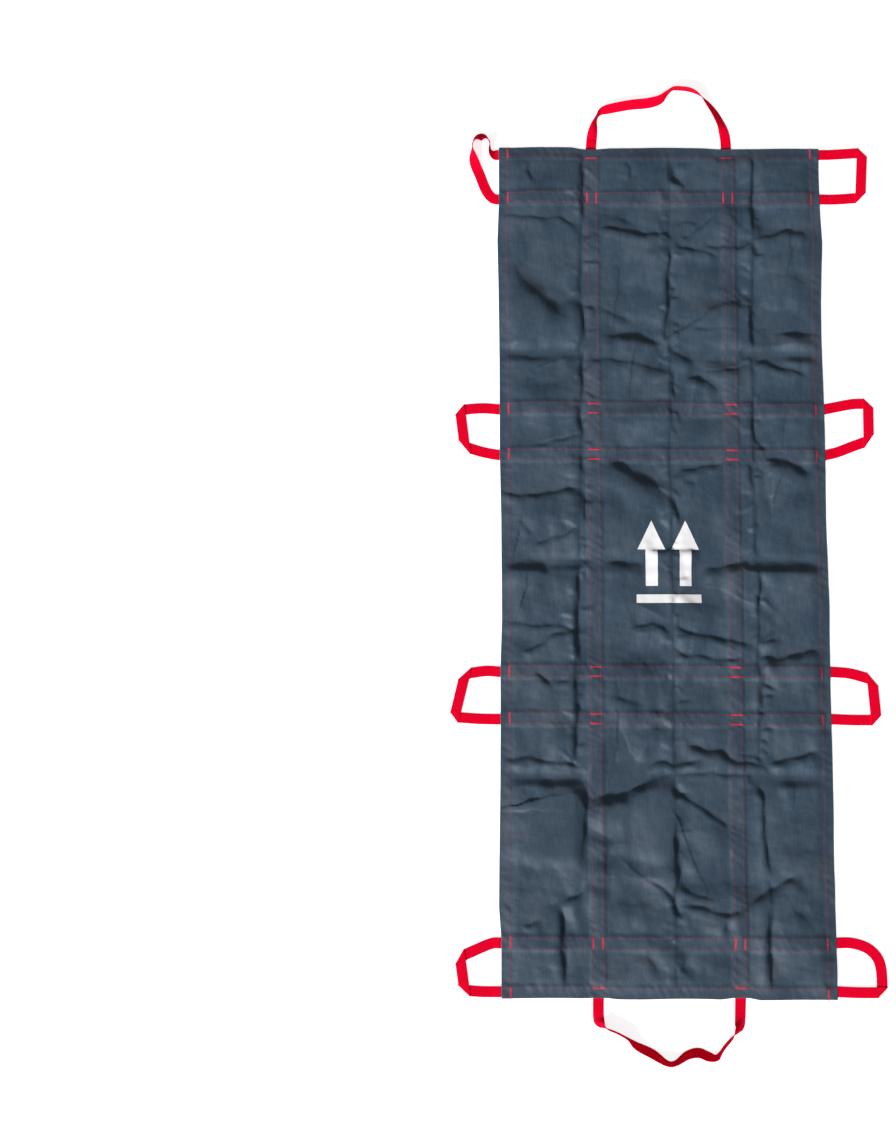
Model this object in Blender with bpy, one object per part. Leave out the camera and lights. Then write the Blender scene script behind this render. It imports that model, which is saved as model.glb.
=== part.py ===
"""Roll-up rescue stretcher: a hemmed cloth sheet with webbing sewn under it.

Two long webbing straps end in a loop handle at the head and another at the foot. Four
stations of two webbing runs each cross the sheet and end in a loop handle on each side.
The cloth folds along two side lines and three cross lines, so the sheet is three columns
by four rows of panels, and the webbing under it is divided at the same lines.
All sizes are in millimetres. X is across, Y runs to the head, and Z is up from the floor.
"""
import math

import bmesh
import bpy
from mathutils import Vector

# Sheet
SHEET_LENGTH = 2000.0
SHEET_WIDTH = 770.0
CLOTH = 0.9            # one layer of the coated cloth
HEM_WIDTH = 22.0       # turned under along all four edges
# Webbing
WEB_WIDTH = 25.0
WEB = 1.6              # thickness
STRAP_SPACING = 326.0  # between the middles of the two long straps
RUN_SPACING = 110.0    # between the middles of a station's two cross runs
STATIONS = 4
# Folds
SIDE_FOLD = 190.0      # from the middle to each side fold line
CROSS_FOLD = 500.0     # from the middle to the head and foot fold lines
# Clearances
GAP = 0.3              # between touching layers and across each fold line
EDGE_INSET = 0.2       # a strap's cut end, inside the sheet's edge
PIVOT_OUTSET = 0.9     # a handle's pivot, outside the sheet's edge
RAMP = 8.0             # length in which webbing steps from one level to the next
STEP_MARGIN = 1.0      # webbing stays level this far past what it passes under
LEVEL_OUT = 5.0        # a side handle stays level this far out of the sheet
FOLD_LAYER_GAP = 0.4   # between the two layers of a diagonally folded strap
FOLD_CLEARANCE = 2.0   # from a diagonal fold's crease to the webbing's next section
# How finely the loops are divided
ROUTE_STEP = 9.0       # along a curved run of webbing
FOLD_FACETS = 4        # around a diagonal fold
END_FACETS = 3         # around the rounded end at a pivot

MM = 0.001
UP = Vector((0.0, 0.0, 1.0))

# Levels above the floor, from the crossing under the end hem upwards
HEM_UNDERSIDE = 2.0 * WEB + 2.0 * GAP
SHEET_UNDERSIDE = HEM_UNDERSIDE + CLOTH
SHEET_TOP = SHEET_UNDERSIDE + CLOTH
RUN_UNDER_HEM = HEM_UNDERSIDE - GAP - WEB / 2.0
RUN_UNDER_SHEET = SHEET_UNDERSIDE - GAP - WEB / 2.0
LAYER_STEP = WEB + GAP

HALF_LENGTH = SHEET_LENGTH / 2.0
HALF_WIDTH = SHEET_WIDTH / 2.0
STRAP_X = STRAP_SPACING / 2.0
STATION_PITCH = (SHEET_LENGTH - RUN_SPACING - WEB_WIDTH) / (STATIONS - 1)
STATION_Y = [
    HALF_LENGTH - WEB_WIDTH / 2.0 - RUN_SPACING / 2.0 - i * STATION_PITCH
    for i in range(STATIONS)
]
ROWS = {
    "head": (CROSS_FOLD, HALF_LENGTH),
    "upper": (0.0, CROSS_FOLD),
    "lower": (-CROSS_FOLD, 0.0),
    "foot": (-HALF_LENGTH, -CROSS_FOLD),
}
COLUMNS = {
    "left": (-HALF_WIDTH, -SIDE_FOLD),
    "middle": (-SIDE_FOLD, SIDE_FOLD),
    "right": (SIDE_FOLD, HALF_WIDTH),
}

# Side loops: each route runs from the upper leg to the lower one, as lies on the floor.
# A point is (outwards from the edge, along the edge from the station's middle, turn).
# The turn is the webbing's roll in degrees, 90 on edge, or "over" or "under" at a corner
# where the webbing is folded flat on the diagonal.
LEG = RUN_SPACING / 2.0
SIDE_LOOPS = {
    ("right", 0): [(0, LEG, 0), (40, 57, 0), (104.4, 61, "over"), (98, -50, "under"),
                   (45, -54, 0), (0, -LEG, 0)],
    ("right", 1): [(0, LEG, 0), (34, 62, 0), (68, 68, 0), (103.6, 69, "over"),
                   (103, -20, "under"), (64, -34, 0), (30, -47, 0), (0, -LEG, 0)],
    ("right", 2): [(0, LEG, 0), (46, 51, 0), (97, 37, "over"), (104.2, -57, "under"),
                   (50, -57, 0), (0, -LEG, 0)],
    ("right", 3): [(0, LEG, 0), (36, 54, 0), (70, 43, 0), (92, 22, 0), (101, -6, 0),
                   (102.5, -57, "over"), (50, -57, 0), (0, -LEG, 0)],
    ("left", 0): [(0, LEG, 0), (7, 55.3, 0), (14, 58, 28), (20, 66, 70), (21, 81, 88),
                  (27, 92, 70), (38, 98, 30), (50, 96, 40), (60, 86, 80), (64, 70, 88),
                  (62, 50, 50), (55, 29, 12), (45, 6, 0), (36, -18, 0), (27, -37, 0),
                  (16, -50, 0), (8, -54, 0), (0, -LEG, 0)],
    ("left", 1): [(0, LEG, 0), (40, 58, 0), (93, 54, "over"), (82, -34, "under"),
                  (40, -47, 0), (0, -LEG, 0)],
    ("left", 2): [(0, LEG, 0), (34, 57, 0), (82, 50, "over"), (106.4, -50, "under"),
                  (50, -54, 0), (0, -LEG, 0)],
    ("left", 3): [(0, LEG, 0), (26, 52, 0), (94, 23, "over"), (84, -52, "under"),
                  (42, -55, 0), (0, -LEG, 0)],
}
# End loops: (across from the middle, outwards from the edge, roll), from the left strap
# to the right one
END_LOOPS = {
    "head": [(-STRAP_X, 0, 0), (-161, 26, 0), (-157, 50, 35), (-150, 76, 80), (-140, 91, 70),
             (-118, 99, 48), (-69, 109, 42), (-26, 114, 35), (4, 122, 50), (21, 137, 78),
             (36, 148.5, 90), (57, 148.6, 90), (78, 145, 90), (99, 134, 100), (118, 114, 135),
             (136, 90, 150), (151, 62, 110), (159, 40, 45), (162, 22, 0), (STRAP_X, 0, 0)],
    "foot": [(-STRAP_X, 0, 0), (-163, 42, 0), (-159, 57, 35), (-147, 67, 82), (-122, 77, 90),
             (-98, 90, 95), (-78, 106, 125), (-42, 124, 140), (-8, 144.7, 112), (12, 143.7, 105),
             (38, 127, 125), (64, 122, 142), (86, 130, 140), (104, 132, 110), (114, 121, 92),
             (124, 107, 90), (141, 88, 85), (153, 73, 50), (160, 57, 12), (STRAP_X, 0, 0)],
}


def clear_scene():
    for old in list(bpy.data.objects):
        bpy.data.objects.remove(old, do_unlink=True)


def material(name, colour, roughness):
    made = bpy.data.materials.new(name)
    made.use_nodes = True
    shader = made.node_tree.nodes["Principled BSDF"]
    shader.inputs["Base Color"].default_value = (*colour, 1.0)
    shader.inputs["Roughness"].default_value = roughness
    shader.inputs["Metallic"].default_value = 0.0
    return made


def new_object(name, shape, coat, smooth=False):
    """An object from a bmesh in millimetres."""
    bmesh.ops.scale(shape, vec=(MM, MM, MM), verts=shape.verts)
    bmesh.ops.recalc_face_normals(shape, faces=shape.faces)
    mesh = bpy.data.meshes.new(name)
    shape.to_mesh(mesh)
    shape.free()
    mesh.materials.append(coat)
    if smooth:
        mesh.shade_smooth()
        mesh.set_sharp_from_angle(angle=math.radians(35.0))
    made = bpy.data.objects.new(name, mesh)
    bpy.context.scene.collection.objects.link(made)
    return made


def panel(name, x_span, y_span, coat):
    """One panel of the sheet, with a second layer under it wherever it reaches a hem."""
    half_gap = GAP / 2.0
    x_low, x_high = [x if abs(x) == HALF_WIDTH else x + side * half_gap
                     for x, side in zip(x_span, (1, -1))]
    y_low, y_high = [y if abs(y) == HALF_LENGTH else y + side * half_gap
                     for y, side in zip(y_span, (1, -1))]
    shape = bmesh.new()
    corners = [(x_low, y_low), (x_high, y_low), (x_high, y_high), (x_low, y_high)]
    outline = shape.faces.new([shape.verts.new((x, y, SHEET_UNDERSIDE)) for x, y in corners])
    raised = bmesh.ops.extrude_face_region(shape, geom=[outline], use_keep_orig=True)
    raised_verts = [e for e in raised["geom"] if isinstance(e, bmesh.types.BMVert)]
    bmesh.ops.translate(shape, vec=UP * CLOTH, verts=raised_verts)
    hem_x = HALF_WIDTH - HEM_WIDTH
    hem_y = HALF_LENGTH - HEM_WIDTH
    for axis, place in ((0, -hem_x), (0, hem_x), (1, -hem_y), (1, hem_y)):
        normal = [0.0, 0.0, 0.0]
        normal[axis] = 1.0
        point = [place * n for n in normal]
        everything = shape.verts[:] + shape.edges[:] + shape.faces[:]
        bmesh.ops.bisect_plane(shape, geom=everything, plane_co=point, plane_no=normal)
    hem = []
    for face in shape.faces:
        middle = face.calc_center_median()
        under = abs(middle.z - SHEET_UNDERSIDE) < CLOTH / 10.0
        if under and (abs(middle.x) > hem_x or abs(middle.y) > hem_y):
            hem.append(face)
    if hem:
        lowered = bmesh.ops.extrude_face_region(shape, geom=hem)
        covered = [face for face in hem if face.is_valid]
        bmesh.ops.delete(shape, geom=covered, context="FACES")
        lowered_verts = [e for e in lowered["geom"] if isinstance(e, bmesh.types.BMVert)]
        bmesh.ops.translate(shape, vec=-UP * CLOTH, verts=lowered_verts)
    return new_object(name, shape, coat)


def skin(name, sections, coat, smooth=False):
    """A closed strap through its sections, each (middle, half width, normal, half thickness).

    A twisted strap's two broad faces are cut along the same diagonal, so that they stay a
    thickness apart.
    """
    shape = bmesh.new()
    rings = []
    for middle, across, normal, half in sections:
        corners = (middle + across + normal * half, middle - across + normal * half,
                   middle - across - normal * half, middle + across - normal * half)
        rings.append([shape.verts.new(corner) for corner in corners])
    for near, far in zip(rings, rings[1:]):
        for i in (1, 3):
            j = (i + 1) % 4
            shape.faces.new((near[i], near[j], far[j], far[i]))
        if smooth:
            shape.faces.new((near[0], near[1], far[1]))
            shape.faces.new((near[0], far[1], far[0]))
            shape.faces.new((near[3], far[2], near[2]))
            shape.faces.new((near[3], far[3], far[2]))
        else:
            shape.faces.new((near[0], near[1], far[1], far[0]))
            shape.faces.new((near[2], near[3], far[3], far[2]))
    shape.faces.new(rings[0])
    shape.faces.new(rings[-1])
    return new_object(name, shape, coat, smooth)


def long_strap(name, x, y_span, coat):
    """One row's length of a long strap. It steps down under each cross run."""
    y_low = y_span[0] + (EDGE_INSET if y_span[0] == -HALF_LENGTH else GAP / 2.0)
    y_high = y_span[1] - (EDGE_INSET if y_span[1] == HALF_LENGTH else GAP / 2.0)
    level_half = WEB_WIDTH / 2.0 + STEP_MARGIN
    profile = []
    for station in reversed(STATION_Y):
        for run_y in (station - LEG, station + LEG):
            if not y_low < run_y < y_high:
                continue
            at_end = abs(run_y) > HALF_LENGTH - WEB_WIDTH
            low = (RUN_UNDER_HEM if at_end else RUN_UNDER_SHEET) - LAYER_STEP
            for offset, height in ((-level_half - RAMP, RUN_UNDER_SHEET), (-level_half, low),
                                   (level_half, low), (level_half + RAMP, RUN_UNDER_SHEET)):
                if y_low < run_y + offset < y_high:
                    profile.append((run_y + offset, height))
    profile = [(y_low, profile[0][1])] + profile + [(y_high, profile[-1][1])]
    sections = [(Vector((x, y, z)), Vector((-WEB_WIDTH / 2.0, 0.0, 0.0)), UP, WEB / 2.0)
                for y, z in profile]
    return skin(name, sections, coat)


def cross_run(name, column, y, coat):
    """One column's length of a cross run. It steps down to pass under the side hem."""
    low, high = COLUMNS[column]
    at_end = abs(y) > HALF_LENGTH - WEB_WIDTH
    inner = RUN_UNDER_HEM if at_end else RUN_UNDER_SHEET
    if column == "middle":
        profile = [(low + GAP / 2.0, inner), (high - GAP / 2.0, inner)]
    else:
        hem_edge = HALF_WIDTH - HEM_WIDTH - STEP_MARGIN
        profile = [(SIDE_FOLD + GAP / 2.0, inner), (hem_edge - RAMP, inner),
                   (hem_edge, RUN_UNDER_HEM), (HALF_WIDTH - EDGE_INSET, RUN_UNDER_HEM)]
        if column == "left":
            profile = [(-x, z) for x, z in reversed(profile)]
    sections = [(Vector((x, y, z)), Vector((0.0, WEB_WIDTH / 2.0, 0.0)), UP, WEB / 2.0)
                for x, z in profile]
    return skin(name, sections, coat)


def smooth_route(points):
    """Points about ROUTE_STEP apart on a Catmull-Rom curve through points of any size."""
    if len(points) < 3:
        return [Vector(p) for p in points]
    padded = [2.0 * Vector(points[0]) - Vector(points[1])]
    padded += [Vector(p) for p in points]
    padded.append(2.0 * Vector(points[-1]) - Vector(points[-2]))
    route = []
    for i in range(1, len(padded) - 2):
        a, b, c, d = padded[i - 1:i + 3]
        count = max(1, round((c - b).xy.length / ROUTE_STEP))
        for step in range(count):
            t = step / count
            route.append(0.5 * (2.0 * b + (c - a) * t + (2.0 * a - 5.0 * b + 4.0 * c - d) * t * t
                                + (3.0 * b - a - 3.0 * c + d) * t ** 3))
    route.append(padded[-2])
    return route


def loop_sections(route, exit_height):
    """Sections of a webbing loop. Route points are (x, y, turn) in the stretcher's frame.

    The loop leaves the sheet's edge at exit_height and comes down to the floor, where it
    stands on its lower edge at any roll. A corner folded over lies one layer higher.
    """
    half_width = WEB_WIDTH / 2.0
    wrap = (WEB + FOLD_LAYER_GAP) / 2.0
    drop = exit_height - WEB / 2.0
    runs = [[]]
    for x, y, turn in route:
        folded = isinstance(turn, str)
        runs[-1].append((x, y, 0.0 if folded else turn))
        if folded:
            runs.append([(x, y, 0.0)])
    folds = [turn for _, _, turn in route if isinstance(turn, str)]
    clear_of_fold = []
    for before, after in zip(runs, runs[1:]):
        arriving = Vector(before[-1]).xy - Vector(before[-2]).xy
        leaving = Vector(after[1]).xy - Vector(after[0]).xy
        half_turn = arriving.angle(leaving) / 2.0
        clear_of_fold.append(half_width / math.tan(half_turn) + FOLD_CLEARANCE)
    sections = []
    layer = 0.0
    facing = 1.0
    last = len(runs) - 1
    for number, run in enumerate(runs):
        points = smooth_route([Vector(p) for p in run])
        total = sum((b - a).xy.length for a, b in zip(points, points[1:]))
        gone = 0.0
        tangents = []
        for i, point in enumerate(points):
            before = points[max(i - 1, 0)]
            after = points[min(i + 1, len(points) - 1)]
            tangents.append((after - before).xy.to_3d().normalized())
        if number == 0:
            tangents[0] = outward(points[0])
        if number == last:
            tangents[-1] = -outward(points[-1])
        for i, point in enumerate(points):
            if i:
                gone += (point - points[i - 1]).xy.length
            if number > 0 and gone < clear_of_fold[number - 1]:
                continue
            if number < last and total - gone < clear_of_fold[number]:
                continue
            roll = math.radians(point.z)
            from_sheet = gone if number == 0 else LEVEL_OUT + 2.0 * RAMP
            if number == last:
                from_sheet = min(from_sheet, total - gone)
            near_sheet = 1.0 - min(1.0, max(0.0, (from_sheet - LEVEL_OUT) / (2.0 * RAMP)))
            lift = drop * near_sheet + layer * (1.0 - near_sheet)
            height = half_width * abs(math.sin(roll)) + WEB / 2.0 * abs(math.cos(roll))
            side = UP.cross(tangents[i])
            across = (side * math.cos(roll) + UP * math.sin(roll)) * facing
            normal = (UP * math.cos(roll) - side * math.sin(roll)) * facing
            middle = Vector((point.x, point.y, height + lift))
            sections.append((middle, across * half_width, normal, WEB / 2.0))
        if number < last:
            corner = Vector((run[-1][0], run[-1][1], WEB / 2.0 + layer))
            arriving = tangents[-1]
            leaving = (Vector(runs[number + 1][1]) - Vector(run[-1])).xy.to_3d().normalized()
            crease = (arriving + leaving).normalized()
            reach = half_width / arriving.cross(crease).length
            outer = arriving - crease * arriving.dot(crease)
            outer.normalize()
            left_of_strap = UP.cross(arriving) * facing
            across = crease * math.copysign(reach, crease.dot(left_of_strap))
            rise = 1.0 if folds[number] == "over" else -1.0
            for step in range(FOLD_FACETS + 1):
                angle = math.pi * step / FOLD_FACETS
                middle = (corner + outer * wrap * math.sin(angle)
                          + UP * rise * wrap * (1.0 - math.cos(angle)))
                inward = -outer * math.sin(angle) + UP * rise * math.cos(angle)
                normal = inward * rise * facing
                sections.append((middle, across, normal, WEB / 2.0))
            layer += rise * 2.0 * wrap
            facing = -facing
    return sections


def outward(point):
    """The way out of the sheet at an edge point: along X at a side, along Y at an end."""
    if abs(point.x) > HALF_WIDTH:
        return Vector((math.copysign(1.0, point.x), 0.0, 0.0))
    return Vector((0.0, math.copysign(1.0, point.y), 0.0))


def rounded_ends(sections):
    """The sections with a half-round nose added at each cut end, centred on the pivot."""
    def nose(section, away):
        middle, across, normal, half = section
        made = []
        for step in range(1, END_FACETS + 1):
            angle = math.radians(90.0 * (1.0 - step / (END_FACETS + 0.5)))
            made.append((middle + away * half * math.cos(angle), across, normal,
                         half * math.sin(angle)))
        return made

    first = nose(sections[0], -outward(sections[0][0]))
    final = nose(sections[-1], -outward(sections[-1][0]))
    return first[::-1] + sections + final


def side_loop(name, side, station, coat):
    sign = 1.0 if side == "right" else -1.0
    start = HALF_WIDTH + PIVOT_OUTSET
    route = [(sign * (start + out), STATION_Y[station] + along, turn)
             for out, along, turn in SIDE_LOOPS[side, station]]
    sections = rounded_ends(loop_sections(route, RUN_UNDER_HEM))
    return skin(name, sections, coat, smooth=True)


def end_loop(name, end, coat):
    sign = 1.0 if end == "head" else -1.0
    start = HALF_LENGTH + PIVOT_OUTSET
    route = [(across, sign * (start + out), turn) for across, out, turn in END_LOOPS[end]]
    sections = rounded_ends(loop_sections(route, RUN_UNDER_HEM - LAYER_STEP))
    return skin(name, sections, coat, smooth=True)


def main():
    clear_scene()
    cloth = material("coated_cloth", (0.058, 0.078, 0.105), 0.62)
    webbing = material("red_webbing", (0.78, 0.006, 0.028), 0.78)
    for row, y_span in ROWS.items():
        for column, x_span in COLUMNS.items():
            panel(f"{row}_{column}_panel", x_span, y_span, cloth)
        for side, x in (("left", -STRAP_X), ("right", STRAP_X)):
            long_strap(f"{row}_{side}_long_strap", x, y_span, webbing)
    for station, station_y in enumerate(STATION_Y):
        for run, y in (("a", station_y + LEG), ("b", station_y - LEG)):
            for column in COLUMNS:
                cross_run(f"cross_run_{station + 1}{run}_{column}", column, y, webbing)
        for side in ("left", "right"):
            side_loop(f"{side}_handle_{station + 1}", side, station, webbing)
    for end in ("head", "foot"):
        end_loop(f"{end}_handle", end, webbing)


main()
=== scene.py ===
# %% [markdown]
# # Roll-up rescue stretcher
#
# A sheet of slate-blue coated cloth, about 2 m by 0.77 m, lies on a white floor and is seen
# from above. Red webbing is sewn under it and comes out as ten loop handles. This script
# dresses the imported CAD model: every cloth or webbing solid is replaced by a finer piece
# with folds, weave, stitches and a print. Lengths are in millimetres until a mesh is
# finished, because the pieces are thin, and then go to Blender's metres.

# %% Load the frame
import math

import bmesh
import bpy
import numpy as np
from mathutils import Matrix, Vector


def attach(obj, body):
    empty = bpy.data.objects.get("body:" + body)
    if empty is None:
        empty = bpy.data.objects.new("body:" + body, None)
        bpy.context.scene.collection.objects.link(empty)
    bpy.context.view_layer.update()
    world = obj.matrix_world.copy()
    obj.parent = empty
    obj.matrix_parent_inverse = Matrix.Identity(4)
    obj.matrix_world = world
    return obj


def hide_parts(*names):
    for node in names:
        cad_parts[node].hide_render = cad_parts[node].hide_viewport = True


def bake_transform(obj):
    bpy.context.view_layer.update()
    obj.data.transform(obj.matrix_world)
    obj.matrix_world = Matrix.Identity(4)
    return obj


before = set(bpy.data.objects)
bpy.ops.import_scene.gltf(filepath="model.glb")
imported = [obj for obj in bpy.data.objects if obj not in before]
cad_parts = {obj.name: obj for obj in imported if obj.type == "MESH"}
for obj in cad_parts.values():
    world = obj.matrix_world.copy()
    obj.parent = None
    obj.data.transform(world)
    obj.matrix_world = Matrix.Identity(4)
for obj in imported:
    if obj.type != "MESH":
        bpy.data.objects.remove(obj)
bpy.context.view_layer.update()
MM = 0.001
UP = Vector((0.0, 0.0, 1.0))

# %% [markdown]
# ## Camera
#
# The photograph looks almost straight down from about 3.6 m, a little from the foot end,
# so the foot is slightly larger than the head. The stretcher stands right of the middle of
# the picture, so the camera aims at the empty floor to its left.

# %% Camera
LENS = 48.3
SENSOR_WIDTH = 36.0
CAMERA_DISTANCE = 3.6
CAMERA_ELEVATION = math.radians(84.7)
AIM = Vector((-0.5075, -0.0178, 0.0))
lens = bpy.data.cameras.new("camera")
lens.lens = LENS
lens.sensor_width = SENSOR_WIDTH
camera = bpy.data.objects.new("camera", lens)
bpy.context.scene.collection.objects.link(camera)
towards_camera = Vector((0.0, -math.cos(CAMERA_ELEVATION), math.sin(CAMERA_ELEVATION)))
camera.location = AIM + towards_camera * CAMERA_DISTANCE
camera.rotation_euler = (-towards_camera).to_track_quat("-Z", "Y").to_euler()
bpy.context.scene.camera = camera
bpy.context.scene.view_settings.view_transform = "Standard"
print("camera at", [round(c, 3) for c in camera.location])

# %% [markdown]
# ## Floor and light
#
# A plain studio: one soft sun, low over the foot end and the left, so that each fold has a
# lit side and a dark side as in the photograph, and an even pale surround that fills the
# shadows. Together they light a flat white sheet to just about white. The floor is a light
# grey that glows for camera, glossy and transmission rays, so that it comes out white and
# still keeps the object's shadow. Past the floor's edge the camera sees the surround as
# white too, while the light that the surround gives stays low.

# %% Helpers for materials
def node_material(name):
    """A new node material, its node tree and its Principled shader."""
    made = bpy.data.materials.new(name)
    made.use_nodes = True
    return made, made.node_tree, made.node_tree.nodes["Principled BSDF"]


def add_node(tree, kind, **values):
    """A new node. Each value goes to its input of that name, or to its setting."""
    node = tree.nodes.new(kind)
    for key, value in values.items():
        if key in node.inputs:
            node.inputs[key].default_value = value
        else:
            setattr(node, key, value)
    return node


def math_node(tree, operation, *values):
    """The result of a Math node. Each value is a number or another node's output."""
    node = add_node(tree, "ShaderNodeMath", operation=operation)
    for socket, value in zip(node.inputs, values):
        if isinstance(value, (int, float)):
            socket.default_value = value
        else:
            tree.links.new(value, socket)
    return node.outputs[0]


def seen_by(tree, *rays):
    """1 for the named kinds of ray, such as Is Camera Ray, and 0 for all others."""
    light_path = add_node(tree, "ShaderNodeLightPath")
    seen = light_path.outputs[rays[0]]
    for ray in rays[1:]:
        seen = math_node(tree, "MAXIMUM", seen, light_path.outputs[ray])
    return seen


print("helpers for materials ready")

# %% Floor
FLOOR_TONE = 0.7          # grey enough for a shadow to show on it
FLOOR_GLOW = 0.78         # what the camera sees added, which brings it to white
FLOOR_HALF = 12.0
FLOOR_LEVEL = -0.0004     # just under the lowest cloth, so that the two never meet
floor_finish, tree, shader = node_material("white_floor")
shader.inputs["Base Color"].default_value = (FLOOR_TONE, FLOOR_TONE, FLOOR_TONE, 1.0)
shader.inputs["Roughness"].default_value = 0.9
shader.inputs["Specular IOR Level"].default_value = 0.1
shader.inputs["Emission Color"].default_value = (1.0, 1.0, 1.0, 1.0)
glow = math_node(tree, "MULTIPLY",
                 seen_by(tree, "Is Camera Ray", "Is Glossy Ray", "Is Transmission Ray"), FLOOR_GLOW)
tree.links.new(glow, shader.inputs["Emission Strength"])
floor_shape = bmesh.new()
bmesh.ops.create_grid(floor_shape, x_segments=1, y_segments=1, size=FLOOR_HALF)
floor_mesh = bpy.data.meshes.new("floor")
floor_shape.to_mesh(floor_mesh)
floor_shape.free()
floor_mesh.materials.append(floor_finish)
floor = bpy.data.objects.new("floor", floor_mesh)
bpy.context.scene.collection.objects.link(floor)
floor.location.z = FLOOR_LEVEL
print("floor laid, metres across", 2.0 * FLOOR_HALF)

# %% Light
SUN_SHARE = 0.77          # of the light on a flat sheet that comes from the lamp
SUN_HEIGHT = math.radians(32.0)
SUN_FROM = math.radians(235.0)    # around from +X, so from the foot end and the left
SUN_SPREAD = math.radians(11.0)   # how wide the lamp looks, which softens the shadows
world = bpy.data.worlds.new("surround")
world.use_nodes = True
sky = world.node_tree
background = sky.nodes["Background"]
background.inputs["Color"].default_value = (1.0, 1.0, 1.0, 1.0)
sky_strength = math_node(sky, "MULTIPLY_ADD", seen_by(sky, "Is Camera Ray", "Is Transmission Ray"),
                         SUN_SHARE, 1.0 - SUN_SHARE)
sky.links.new(sky_strength, background.inputs["Strength"])
bpy.context.scene.world = world
sun_data = bpy.data.lights.new("soft_sun", "SUN")
sun_data.angle = SUN_SPREAD
sun_data.energy = math.pi * SUN_SHARE / math.sin(SUN_HEIGHT)
sun = bpy.data.objects.new("soft_sun", sun_data)
sun_direction = Vector((math.cos(SUN_HEIGHT) * math.cos(SUN_FROM),
                        math.cos(SUN_HEIGHT) * math.sin(SUN_FROM), math.sin(SUN_HEIGHT)))
sun.rotation_euler = sun_direction.to_track_quat("Z", "Y").to_euler()
bpy.context.scene.collection.objects.link(sun)
print("sun strength", round(sun_data.energy, 2))

# %% [markdown]
# ## Sizes
#
# These are the sizes that the CAD model has: the sheet, the webbing, where it runs, and the
# levels of the layers above the floor. Where webbing crosses webbing, the long strap lies
# lowest, the cross run over it, and the cloth on top.

# %% Sizes
SHEET_LENGTH = 2000.0
SHEET_WIDTH = 770.0
CLOTH = 0.9
HEM_WIDTH = 22.0
WEB_WIDTH = 25.0
WEB = 1.6
STRAP_X = 163.0
RUN_SPACING = 110.0
LEG = RUN_SPACING / 2.0
SIDE_FOLD = 190.0
CROSS_FOLD = 500.0
GAP = 0.3                 # between layers
EDGE_INSET = 0.2          # webbing ends this far inside the sheet's edge
PIVOT_OUTSET = 0.9        # and a handle begins this far outside it
RAMP = 8.0                # length over which webbing steps down a layer
STEP_MARGIN = 1.0
LEVEL_OUT = 5.0           # a handle keeps its level this far out before it comes down
FOLD_LAYER_GAP = 0.4      # between the two layers of a corner that is folded flat
HALF_LENGTH = SHEET_LENGTH / 2.0
HALF_WIDTH = SHEET_WIDTH / 2.0
HEM_UNDERSIDE = 2.0 * (WEB + GAP)
SHEET_TOP = HEM_UNDERSIDE + 2.0 * CLOTH
RUN_UNDER_HEM = HEM_UNDERSIDE - GAP - WEB / 2.0
RUN_UNDER_SHEET = RUN_UNDER_HEM + CLOTH
LAYER_STEP = WEB + GAP
STATION_PITCH = (SHEET_LENGTH - RUN_SPACING - WEB_WIDTH) / 3.0
STATION_Y = [HALF_LENGTH - WEB_WIDTH / 2.0 - LEG - i * STATION_PITCH for i in range(4)]
RUN_Y = [station + leg for station in STATION_Y for leg in (LEG, -LEG)]
ROW_OUT = 11.0            # each stitch row is this far from its webbing's middle
SIDE_HEM_ROW = 364.0      # the rows along the hems are this far from the sheet's middle
END_HEM_ROW = 977.0
print("cross runs at", [round(y, 1) for y in RUN_Y])

# %% [markdown]
# ## The lie of the cloth
#
# A stretcher that has been stored folded in a packet keeps its folds when it is laid out:
# sharp creases where the layers were pressed, soft waves between them, and bands where the
# webbing holds the cloth up. All of that is one height over the floor at each place, so one
# set of functions gives it, and the cloth, webbing, stitches and print all ask them. They
# work on whole arrays of points at once, which is fast for fine meshes. A crease is placed
# by pixels of the photograph, so the first function says where on the sheet a pixel lies.

# %% Where a point of the photograph lies on the sheet
PHOTO_WIDTH = 896
PHOTO_HEIGHT = 1141
CLOTH_LEVEL = 0.008       # metres over the floor, on average
PIXEL = SENSOR_WIDTH / LENS / PHOTO_HEIGHT
view_turn = camera.rotation_euler.to_matrix()


def on_sheet(column, row):
    """Where the camera's ray through a pixel meets the cloth, in millimetres."""
    ray = view_turn @ Vector(((column - PHOTO_WIDTH / 2.0) * PIXEL,
                              (PHOTO_HEIGHT / 2.0 - row) * PIXEL, -1.0))
    met = camera.location + ray * ((CLOTH_LEVEL - camera.location.z) / ray.z)
    return met.x / MM, met.y / MM


print("the photograph's middle of the print lies at", on_sheet(669.0, 565.0))
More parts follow.
